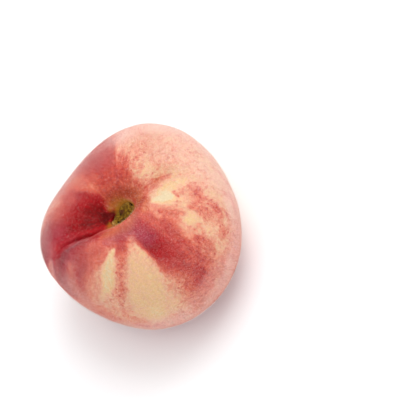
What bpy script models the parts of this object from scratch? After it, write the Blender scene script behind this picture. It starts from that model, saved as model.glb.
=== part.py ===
"""Flat peach with the dry stump of its stalk, in metres, +Z up along the core.

The fruit is one closed body. Its surface is a full, rounded cushion shape whose outline in plan is
a mean radius with a few slow harmonics. A hollow is sunk into the top round the stalk, a shallower
dimple into the bottom, and the suture runs from the hollow towards -X in a broad valley with a
narrow crease along its floor. A short, soft valley lies on the other side of the hollow. The fruit
stands on three small flat spots.
"""

import math

import bmesh
import bpy
import numpy as np
from mathutils import Vector

# Overall body
MEAN_RADIUS = 0.0365
EQUATOR_HEIGHT = 0.0214
CROWN_RISE = 0.0285
BELLY_DROP = 0.0236
FULLNESS = 0.84
# Each swelling of the outline in plan: number of lobes, share of the mean radius, heading in degrees
PLAN_SWELLS = ((1, 0.074, -43.0), (2, 0.018, 56.0), (3, 0.052, 42.0), (4, 0.014, -31.0))
CORE_ROUND = 0.0100
SHOULDER_LEAN_X = -0.0034
SHOULDER_LEAN_Y = -0.0044

# Hollow round the stalk, steeper towards -Y
HOLLOW_DEPTH = 0.0162
HOLLOW_HALF_X = 0.0108
HOLLOW_HALF_NEAR = 0.0080
HOLLOW_HALF_FAR = 0.0102
HOLLOW_POWER = 1.80

# Suture: a valley with a steep lip towards -Y, and a crease along its floor
VALLEY_DEPTH = 0.0044
VALLEY_HALF_FAR = 0.0085
VALLEY_HALF_NEAR = 0.0037
VALLEY_MIDDLE = 0.0165
VALLEY_RUN = 0.0090
SUTURE_BOW = 0.0030
BOW_MIDDLE = 0.0100
BOW_RUN = 0.0070
BOW_HALF = 0.0100
BOW_START = 0.0090
CREASE_DEPTH = 0.0015
CREASE_HALF = 0.0007
CREASE_MIDDLE = 0.0140
CREASE_RUN = 0.0100

# Short valley opposite the suture
SHORT_DEPTH = 0.0018
SHORT_HALF = 0.0050
SHORT_MIDDLE = 0.0150
SHORT_RUN = 0.0085
SHORT_BEND = 0.0070
SHORT_START = 0.0030
SHORT_BEND_RUN = 0.0090

# Underside
DIMPLE_DEPTH = 0.0075
DIMPLE_RADIUS = 0.0108
FOOT_REACH = 0.0165
FOOT_SWELL = 0.0005
FOOT_HALF = 0.0080
FOOT_HEADING = -90.0

# Socket of the stalk, an oval with its long axis along the suture
SOCKET_FLOOR_RADIUS = 0.0046
SOCKET_RIM_RADIUS = 0.00485
SOCKET_FLOOR_HEIGHT = 0.0332
OVAL_STRETCH = 0.13
OVAL_FADE = 0.0080

# Stump of the stalk
GAP = 0.0003
STUMP_RADIUS = 0.00425
STUMP_HEIGHT = 0.0026
STUMP_RIM_WIDTH = 0.0008
STUMP_DISH_DEPTH = 0.0009
STUMP_CORE_RADIUS = 0.0011
STUMP_CORE_RISE = 0.0005
STUMP_STEPS = 40

# Mesh
COLUMNS = 84
CROWDING = 0.34
FLOOR_RINGS = 3
FIRST_STEP = 0.0006
STEP_GROWTH = 1.18
SHOULDER_REACH = 0.0250
SIDE_RINGS = 17
BELLY_RINGS = 12


def tilt_at_reach(reach):
    """Angle from the core axis, in radians, where the unswollen body has this radius."""
    return math.asin((reach / MEAN_RADIUS) ** (1.0 / FULLNESS))


def ring_tilts():
    """Angles from the core axis of all rings, from the top pole to the bottom one.

    The rings are close together round the socket and spread out towards the shoulder.
    """
    reaches = [SOCKET_FLOOR_RADIUS * k / FLOOR_RINGS for k in range(1, FLOOR_RINGS + 1)]
    reaches.append(SOCKET_RIM_RADIUS)
    step = FIRST_STEP
    while reaches[-1] + step < SHOULDER_REACH:
        reaches.append(reaches[-1] + step)
        step *= STEP_GROWTH
    top = [tilt_at_reach(reach) for reach in reaches]
    bottom = [math.pi - tilt_at_reach(SHOULDER_REACH * k / BELLY_RINGS) for k in range(BELLY_RINGS, 0, -1)]
    span = bottom[0] - top[-1]
    side = [top[-1] + span * k / (SIDE_RINGS + 1) for k in range(1, SIDE_RINGS + 1)]
    return np.array([0.0, *top, *side, *bottom, math.pi])


def bell(distance, width):
    """1 at no distance, falling smoothly to 0 past the width."""
    return np.exp(-((distance / width) ** 2))


def past_core(reach, width):
    """0 next to the core, rising quickly to 1 past the width."""
    return 1.0 - np.exp(-((reach / width) ** 4))


def suture_line(x):
    """Y of the suture's floor at this X, on the -X side."""
    return -SUTURE_BOW * bell(x + BOW_MIDDLE, BOW_RUN)


def short_line(x):
    """Y of the short valley's floor at this X, on the +X side."""
    return -SHORT_BEND * (1.0 - bell(np.maximum(x - SHORT_START, 0.0), SHORT_BEND_RUN))


def plan_share(reach, azimuth):
    """Radius as a share of the unswollen body's, which stays 1 next to the core."""
    swell = 0.0
    for lobes, amount, heading in PLAN_SWELLS:
        swell = swell + amount * np.cos(lobes * (azimuth - math.radians(heading)))
    return 1.0 + swell * past_core(reach, CORE_ROUND)


def hollow_drop(x, y):
    """How far the hollow sinks the top at this point."""
    half_y = np.where(y < 0.0, HOLLOW_HALF_NEAR, HOLLOW_HALF_FAR)
    distance = np.hypot(x / HOLLOW_HALF_X, y / half_y)
    return HOLLOW_DEPTH * np.exp(-(distance**HOLLOW_POWER))


def suture_drop(x, y):
    """How far the suture's valley and its crease sink the top at this point."""
    across = y - suture_line(x)
    half = np.where(across > 0.0, VALLEY_HALF_FAR, VALLEY_HALF_NEAR)
    valley = VALLEY_DEPTH * bell(x + VALLEY_MIDDLE, VALLEY_RUN) * bell(across, half)
    crease = CREASE_DEPTH * bell(x + CREASE_MIDDLE, CREASE_RUN) * bell(across, CREASE_HALF)
    return np.where(x < 0.0, valley + crease, 0.0)


def short_drop(x, y):
    """How far the short valley sinks the top at this point."""
    valley = bell(x - SHORT_MIDDLE, SHORT_RUN) * bell(y - short_line(x), SHORT_HALF)
    return np.where(x > 0.0, SHORT_DEPTH * valley, 0.0)


def underside_lift(reach, azimuth):
    """How far the dimple lifts the bottom, less the swelling of the three feet."""
    dimple = DIMPLE_DEPTH * bell(reach, DIMPLE_RADIUS)
    feet = np.cos(3.0 * (azimuth - math.radians(FOOT_HEADING)))
    return dimple - FOOT_SWELL * feet * bell(reach - FOOT_REACH, FOOT_HALF)


def fruit_surface(tilt, azimuth):
    """Points of the fruit's surface, without the socket.

    tilt is the angle from the core axis and azimuth the angle in plan, both in radians.
    """
    level = np.cos(tilt)
    top = level > 0.0
    spread = np.abs(np.sin(tilt)) ** FULLNESS
    rise = np.sign(level) * np.abs(level) ** FULLNESS
    reach = spread * MEAN_RADIUS
    radius = reach * plan_share(reach, azimuth)
    oval = np.where(top, OVAL_STRETCH * bell(reach, OVAL_FADE), 0.0)
    x = radius * np.cos(azimuth) * (1.0 + oval)
    y = radius * np.sin(azimuth) * (1.0 - oval)
    drawn = suture_line(x) * bell(y, BOW_HALF) * past_core(reach, BOW_START)
    y = y + np.where(top & (x < 0.0), drawn, 0.0)
    z = EQUATOR_HEIGHT + np.where(top, CROWN_RISE, BELLY_DROP) * rise
    lean = np.maximum(rise, 0.0) * (SHOULDER_LEAN_X * x + SHOULDER_LEAN_Y * y) / MEAN_RADIUS
    sunk = hollow_drop(x, y) + suture_drop(x, y) + short_drop(x, y)
    z = z + np.where(top, lean - sunk, underside_lift(reach, azimuth))
    return x, y, np.maximum(z, 0.0)


def crowded_azimuth(turn):
    """Azimuth of a column, with the columns drawn together along the suture and opposite it."""
    return turn - 0.5 * CROWDING * np.sin(2.0 * turn)


def build_fruit():
    """The fruit, as a sphere's mesh moved onto the formula of its surface, with the socket sunk in."""
    tilts = ring_tilts()
    mesh = bpy.data.meshes.new("peach_fruit")
    form = bmesh.new()
    bmesh.ops.create_uvsphere(form, u_segments=COLUMNS, v_segments=len(tilts) - 1, radius=1.0)
    for vertex in form.verts:
        ring = round(math.acos(max(-1.0, min(1.0, vertex.co.z))) / math.pi * (len(tilts) - 1))
        turn = math.atan2(vertex.co.y, vertex.co.x)
        tilt = tilts[ring]
        x, y, z = fruit_surface(tilt, crowded_azimuth(turn))
        if ring <= FLOOR_RINGS:
            z = SOCKET_FLOOR_HEIGHT
        vertex.co = (float(x), float(y), float(z))
    bmesh.ops.recalc_face_normals(form, faces=form.faces)
    form.to_mesh(mesh)
    form.free()
    mesh.shade_smooth()
    return bpy.data.objects.new("peach_fruit", mesh)


def stump_profile():
    """Half section of the stump: dished top with a raised rim and a low core, then side and bottom."""
    dish = STUMP_HEIGHT - STUMP_DISH_DEPTH
    inner = STUMP_RADIUS - STUMP_RIM_WIDTH
    return (
        (0.0, dish + STUMP_CORE_RISE),
        (0.7 * STUMP_CORE_RADIUS, dish + STUMP_CORE_RISE),
        (STUMP_CORE_RADIUS, dish),
        (0.85 * inner, dish),
        (inner, STUMP_HEIGHT - 0.3 * STUMP_DISH_DEPTH),
        (0.5 * (inner + STUMP_RADIUS), STUMP_HEIGHT),
        (STUMP_RADIUS, STUMP_HEIGHT - 0.4 * STUMP_DISH_DEPTH),
        (STUMP_RADIUS, 0.0),
        (0.0, 0.0),
    )


def build_stump():
    """The stalk's dry stump, turned from its half section and made oval like its socket."""
    profile = bmesh.new()
    corners = [profile.verts.new((x, 0.0, z)) for x, z in stump_profile()]
    for upper, lower in zip(corners, corners[1:]):
        profile.edges.new((upper, lower))
    mesh = bpy.data.meshes.new("stalk_remnant")
    profile.to_mesh(mesh)
    profile.free()
    stump = bpy.data.objects.new("stalk_remnant", mesh)
    screw = stump.modifiers.new("turning", "SCREW")
    screw.axis = "Z"
    screw.steps = STUMP_STEPS
    screw.render_steps = STUMP_STEPS
    screw.use_merge_vertices = True
    screw.merge_threshold = 0.00001
    screw.use_smooth_shade = True
    stump.location = (0.0, 0.0, SOCKET_FLOOR_HEIGHT + GAP)
    oval = float(OVAL_STRETCH * bell(STUMP_RADIUS, OVAL_FADE))
    stump.scale = (1.0 + oval, 1.0 - oval, 1.0)
    return stump


def centre_in_plan(fruit, stump):
    """Moves both pieces so that the fruit's bounding box is centred over the origin."""
    lows = [min(vertex.co[axis] for vertex in fruit.data.vertices) for axis in range(2)]
    highs = [max(vertex.co[axis] for vertex in fruit.data.vertices) for axis in range(2)]
    shift = Vector((-0.5 * (lows[0] + highs[0]), -0.5 * (lows[1] + highs[1]), 0.0))
    fruit.location += shift
    stump.location += shift


def principled(name, colour, roughness):
    """A Principled BSDF material of one colour."""
    material = bpy.data.materials.new(name)
    material.use_nodes = True
    shader = material.node_tree.nodes["Principled BSDF"]
    shader.inputs["Base Color"].default_value = (*colour, 1.0)
    shader.inputs["Roughness"].default_value = roughness
    shader.inputs["Metallic"].default_value = 0.0
    return material


def clear_scene():
    """Removes every object of the scene."""
    for item in list(bpy.data.objects):
        bpy.data.objects.remove(item, do_unlink=True)


def main():
    """Builds both pieces in a collection named for the fruit."""
    clear_scene()
    collection = bpy.data.collections.new("flat_peach")
    bpy.context.scene.collection.children.link(collection)
    fruit = build_fruit()
    fruit.data.materials.append(principled("peach_skin", (0.72, 0.29, 0.20), 0.75))
    stump = build_stump()
    stump.data.materials.append(principled("dry_stalk", (0.23, 0.17, 0.05), 0.9))
    centre_in_plan(fruit, stump)
    for piece in (fruit, stump):
        collection.objects.link(piece)


main()
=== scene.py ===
"""Flat peach with its dry stalk stump, dressed: downy painted skin, stump, blossom scar and studio."""

import logging
import math
from dataclasses import dataclass
from enum import Enum

import bmesh
import bpy
import numpy as np
from mathutils import Matrix, Vector, noise


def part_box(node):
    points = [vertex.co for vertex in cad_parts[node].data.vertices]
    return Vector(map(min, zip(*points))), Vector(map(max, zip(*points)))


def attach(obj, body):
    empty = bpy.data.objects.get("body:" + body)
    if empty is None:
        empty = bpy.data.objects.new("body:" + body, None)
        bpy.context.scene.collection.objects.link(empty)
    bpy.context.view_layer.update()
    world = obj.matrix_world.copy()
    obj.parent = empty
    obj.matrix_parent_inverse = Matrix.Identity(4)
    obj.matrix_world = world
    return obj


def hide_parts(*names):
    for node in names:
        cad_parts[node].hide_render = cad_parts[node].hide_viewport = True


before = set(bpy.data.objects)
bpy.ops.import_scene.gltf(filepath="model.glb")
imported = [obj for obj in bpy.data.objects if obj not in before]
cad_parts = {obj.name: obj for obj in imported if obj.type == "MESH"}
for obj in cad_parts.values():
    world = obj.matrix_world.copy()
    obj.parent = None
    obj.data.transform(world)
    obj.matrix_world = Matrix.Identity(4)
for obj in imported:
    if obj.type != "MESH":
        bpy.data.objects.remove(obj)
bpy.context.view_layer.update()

LOG = logging.getLogger("flat_peach")
MM = 0.001
BODY = "root"
WELD = 1e-5

# Share of the tilt in the third value of the attribute that says where a point lies on the skin
LIE_SLANT = 0.35

# A number or an array of them, and Blender's types by short names
Values = float | np.ndarray
Tree = bpy.types.NodeTree
Node = bpy.types.Node
Socket = bpy.types.NodeSocket

# Kinds of node and settings that several finishes share
MATH = "ShaderNodeMath"
RANGE = "ShaderNodeMapRange"
NOISE = "ShaderNodeTexNoise"
MIX = "ShaderNodeMix"
ATTRIBUTE = "ShaderNodeAttribute"
BUMP = "ShaderNodeBump"
ADD = {"operation": "ADD"}
SUBTRACT = {"operation": "SUBTRACT"}
MULTIPLY = {"operation": "MULTIPLY"}
MULTIPLY_ADD = {"operation": "MULTIPLY_ADD"}
SMOOTH = {"interpolation_type": "SMOOTHSTEP"}
COLOURS = {"data_type": "RGBA"}


class Shift(Enum):
    """Shift of the places that a noise reads, which makes one noise unlike another."""

    PLEATS = 3.0
    STUMP_EDGE = 7.0
    SWELLS = 11.0
    COLLAR = 19.0
    GRAIN = 23.0
    STROKE_EDGE = 41.0
    STROKE_STREAKS = 57.0
    TEARS = 71.0
    CRUMBS = 83.0


def linear(colour: str) -> tuple[float, float, float, float]:
    """Turns an sRGB hex colour to linear light.

    Args:
        colour: The colour as "#RRGGBB".

    Returns:
        Linear red, green and blue, and full alpha.
    """
    shares = [int(colour[k : k + 2], 16) / 255.0 for k in (1, 3, 5)]
    red, green, blue = (s / 12.92 if s <= 0.04045 else ((s + 0.055) / 1.055) ** 2.4 for s in shares)
    return red, green, blue, 1.0


def add_node(tree: Tree, kind: str, settings: dict | None = None, inputs: dict | None = None) -> Node:
    """Adds a node with its settings and links.

    Args:
        tree: The tree that takes the node.
        kind: The node's type name.
        settings: Values of the node's own properties.
        inputs: For each input, by name or number, the socket linked to it or its value.

    Returns:
        The new node.
    """
    node = tree.nodes.new(kind)
    for name, value in (settings or {}).items():
        setattr(node, name, value)
    for name, value in (inputs or {}).items():
        if isinstance(value, Socket):
            tree.links.new(value, node.inputs[name])
        else:
            node.inputs[name].default_value = value
    return node


def new_material(name: str, values: dict) -> tuple[bpy.types.Material, Node]:
    """Makes a material with plain values on its shader.

    Args:
        name: The material's name.
        values: The value of each of the shader's inputs that is the same all over.

    Returns:
        The material and its shader.
    """
    material = bpy.data.materials.new(name)
    material.use_nodes = True
    shader = material.node_tree.nodes["Principled BSDF"]
    for socket, value in values.items():
        shader.inputs[socket].default_value = value
    return material, shader


def per_mm(size: float) -> float:
    """Noise scale whose features are this many millimetres apart."""
    return 1.0 / (size * MM)


def link(name: str, mesh: bpy.types.Mesh) -> bpy.types.Object:
    """Makes a scene object of a mesh, at the origin.

    Args:
        name: The object's name.
        mesh: Its mesh.

    Returns:
        The new object.
    """
    piece = bpy.data.objects.new(name, mesh)
    bpy.context.scene.collection.objects.link(piece)
    return piece


def mesh_from(form: bmesh.types.BMesh, name: str) -> bpy.types.Mesh:
    """Turns a bmesh into a smooth-shaded mesh and frees it.

    Args:
        form: The bmesh, which can't be used afterwards.
        name: The mesh's name.

    Returns:
        The new mesh.
    """
    mesh = bpy.data.meshes.new(name)
    form.to_mesh(mesh)
    form.free()
    mesh.shade_smooth()
    return mesh


def settle(shape: bmesh.types.BMesh, spots: list | np.ndarray, marks: dict[str, np.ndarray]) -> None:
    """Moves the vertices of a mesh and writes the attributes that its finish reads.

    Args:
        shape: The mesh.
        spots: The new place of each vertex.
        marks: For each attribute, the value at each vertex.
    """
    layers = {name: shape.verts.layers.float.new(name) for name in marks}
    for number, (vertex, spot) in enumerate(zip(shape.verts, spots)):
        vertex.co = spot
        for name, layer in layers.items():
            vertex[layer] = marks[name][number]


def bell(distance: Values, width: Values) -> Values:
    """1 at no distance, falling smoothly to 0 past the width."""
    return np.exp(-((distance / width) ** 2))


def past_core(reach: Values, width: float) -> Values:
    """0 next to the core, rising quickly to 1 past the width."""
    return 1.0 - np.exp(-((reach / width) ** 4))


def ease(low: Values, high: Values, value: Values) -> Values:
    """0 below low, 1 above high, with a smooth step between."""
    share = np.clip((value - low) / (high - low), 0.0, 1.0)
    return share * share * (3.0 - 2.0 * share)


def noise_at(points: np.ndarray, size: float, shift: Shift) -> np.ndarray:
    """Smooth noise between about -1 and 1 at each point, one a row, with features about a size apart."""
    return np.array([noise.noise(Vector(place)) for place in points / size + shift.value])


@dataclass(frozen=True)
class FruitForm:
    """The fruit's surface as a formula of the tilt from the core and the azimuth round it.

    x runs along the suture, which lies on the -X side, and y across it. Each of plan_swells is a number of
    lobes round the fruit, their share of the radius and the heading of the first, in degrees.
    """

    mean_radius: float = 0.0365
    equator_height: float = 0.0214
    crown_rise: float = 0.0285
    belly_drop: float = 0.0236
    fullness: float = 0.84
    plan_swells: tuple = ((1, 0.074, -43.0), (2, 0.018, 56.0), (3, 0.052, 42.0), (4, 0.014, -31.0))
    core_round: float = 0.0100
    shoulder_lean_x: float = -0.0034
    shoulder_lean_y: float = -0.0044
    hollow_depth: float = 0.0162
    hollow_half_x: float = 0.0108
    hollow_half_near: float = 0.0080
    hollow_half_far: float = 0.0102
    hollow_power: float = 1.80
    valley_depth: float = 0.0044
    valley_half_far: float = 0.0085
    valley_half_near: float = 0.0037
    valley_middle: float = 0.0165
    valley_run: float = 0.0090
    suture_bow: float = 0.0030
    bow_middle: float = 0.0100
    bow_run: float = 0.0070
    bow_half: float = 0.0100
    bow_start: float = 0.0090
    crease_depth: float = 0.0015
    crease_half: float = 0.0007
    crease_middle: float = 0.0140
    crease_run: float = 0.0100
    short_depth: float = 0.0018
    short_half: float = 0.0050
    short_middle: float = 0.0150
    short_run: float = 0.0085
    short_bend: float = 0.0070
    short_start: float = 0.0030
    short_bend_run: float = 0.0090
    dimple_depth: float = 0.0075
    dimple_radius: float = 0.0108
    foot_reach: float = 0.0165
    foot_swell: float = 0.0005
    foot_half: float = 0.0080
    foot_heading: float = -90.0
    foot_count: float = 3.0
    oval_stretch: float = 0.13
    oval_fade: float = 0.0080

    def tilt_at_reach(self, reach: float) -> float:
        """Angle from the core, in radians, where the unswollen body has this radius."""
        return math.asin((reach / self.mean_radius) ** (1.0 / self.fullness))

    def reach_at_tilt(self, tilt: Values) -> Values:
        """Radius of the unswollen body at this angle from the core."""
        return self.mean_radius * np.abs(np.sin(tilt)) ** self.fullness

    def suture_line(self, x: Values) -> Values:
        """Y of the suture's floor at this X, on the -X side."""
        return -self.suture_bow * bell(x + self.bow_middle, self.bow_run)

    def short_line(self, x: Values) -> Values:
        """Y of the short valley's floor at this X, on the +X side."""
        past = np.maximum(x - self.short_start, 0.0)
        return -self.short_bend * (1.0 - bell(past, self.short_bend_run))

    def plan_share(self, reach: Values, azimuth: Values) -> Values:
        """Radius as a share of the unswollen body's, which stays 1 next to the core.

        Args:
            reach: Radius of the unswollen body, in metres.
            azimuth: Angles in plan, in radians.

        Returns:
            Shares of about 1.
        """
        swell = 0.0
        for lobes, amount, heading in self.plan_swells:
            swell = swell + amount * np.cos(lobes * (azimuth - math.radians(heading)))
        return 1.0 + swell * past_core(reach, self.core_round)

    def top_drop(self, x: Values, y: Values) -> Values:
        """How far the hollow, the suture and the short valley sink the top.

        Args:
            x: Places along the suture, in metres from the core.
            y: Places across it.

        Returns:
            Depths in metres.
        """
        half_y = np.where(y < 0.0, self.hollow_half_near, self.hollow_half_far)
        distance = np.hypot(x / self.hollow_half_x, y / half_y)
        hollow = self.hollow_depth * np.exp(-(distance**self.hollow_power))
        across = y - self.suture_line(x)
        half = np.where(across > 0.0, self.valley_half_far, self.valley_half_near)
        valley = self.valley_depth * bell(x + self.valley_middle, self.valley_run) * bell(across, half)
        crease = self.crease_depth * bell(x + self.crease_middle, self.crease_run)
        crease = crease * bell(across, self.crease_half)
        short = bell(x - self.short_middle, self.short_run) * bell(y - self.short_line(x), self.short_half)
        return hollow + np.where(x < 0.0, valley + crease, self.short_depth * short)

    def underside_lift(self, reach: Values, azimuth: Values) -> Values:
        """How far the dimple lifts the bottom, less the swelling of the feet.

        Args:
            reach: Radius of the unswollen body, in metres.
            azimuth: Angles in plan, in radians.

        Returns:
            Heights in metres.
        """
        dimple = self.dimple_depth * bell(reach, self.dimple_radius)
        feet = np.cos(self.foot_count * (azimuth - math.radians(self.foot_heading)))
        return dimple - self.foot_swell * feet * bell(reach - self.foot_reach, self.foot_half)

    def surface(self, tilt: Values, azimuth: Values) -> np.ndarray:
        """Points of the surface without the stalk's socket, in metres from the foot of the core.

        Args:
            tilt: Angles from the core, in radians.
            azimuth: Angles in plan, in radians.

        Returns:
            One row of x, y and z for each pair of angles.
        """
        level = np.cos(tilt)
        top = level > 0.0
        rise = np.sign(level) * np.abs(level) ** self.fullness
        reach = self.reach_at_tilt(tilt)
        radius = reach * self.plan_share(reach, azimuth)
        oval = np.where(top, self.oval_stretch * bell(reach, self.oval_fade), 0.0)
        x = radius * np.cos(azimuth) * (1.0 + oval)
        y = radius * np.sin(azimuth) * (1.0 - oval)
        drawn = self.suture_line(x) * bell(y, self.bow_half) * past_core(reach, self.bow_start)
        y = y + np.where(top & (x < 0.0), drawn, 0.0)
        z = self.equator_height + np.where(top, self.crown_rise, self.belly_drop) * rise
        lean = self.shoulder_lean_x * x + self.shoulder_lean_y * y
        lean = np.maximum(rise, 0.0) * lean / self.mean_radius
        z = z + np.where(top, lean - self.top_drop(x, y), self.underside_lift(reach, azimuth))
        return np.stack([x, y, np.maximum(z, 0.0)], axis=-1)


@dataclass(frozen=True)
class SocketLip:
    """Where the skin turns down to the stump: an oval with one side drawn in, on the suture's side.

    Each of gap_headings is a heading at which the stump has shrunk from the wall and half the gap's width
    round it, both in degrees.
    """

    reach: float = 0.00455
    width: float = 0.00036
    bite: float = 0.00180
    bite_heading: float = 114.0
    bite_half: float = 50.0
    gap: float = 0.00065
    gap_headings: tuple = ((163.0, 24.0), (14.0, 13.0))

    def turn_from(self, azimuth: Values, heading: float) -> Values:
        """Angles in degrees, either way, from a heading."""
        return np.abs((np.degrees(azimuth) - heading + 180.0) % 360.0 - 180.0)

    def start(self, azimuth: Values) -> Values:
        """Reach at which the wall starts, round the socket."""
        return self.reach - self.bite * bell(self.turn_from(azimuth, self.bite_heading), self.bite_half)

    def open_gap(self, azimuth: Values) -> Values:
        """How far the stump's edge stays back from the wall where it has shrunk from it."""
        shares = (bell(self.turn_from(azimuth, heading), half) for heading, half in self.gap_headings)
        return self.gap * sum(shares)


class Pigment(Enum):
    """What a stroke lays into the skin. The value names the vertex attribute."""

    BLUSH = "blush"
    CHALK = "chalk"
    VIOLET = "violet"
    OLIVE = "olive"
    MOTTLE = "mottle"


@dataclass(frozen=True)
class Stroke:
    """One soft stroke of pigment along the skin.

    path holds azimuth and tilt in degrees and the stroke's half width there in millimetres. soft is the
    share of the half width over which the edge fades, either way.
    """

    pigment: Pigment
    level: float
    path: tuple
    soft: float = 0.9
    strength: float = 1.0


BLUSH, CHALK, VIOLET, OLIVE, MOTTLE = Pigment

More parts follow.
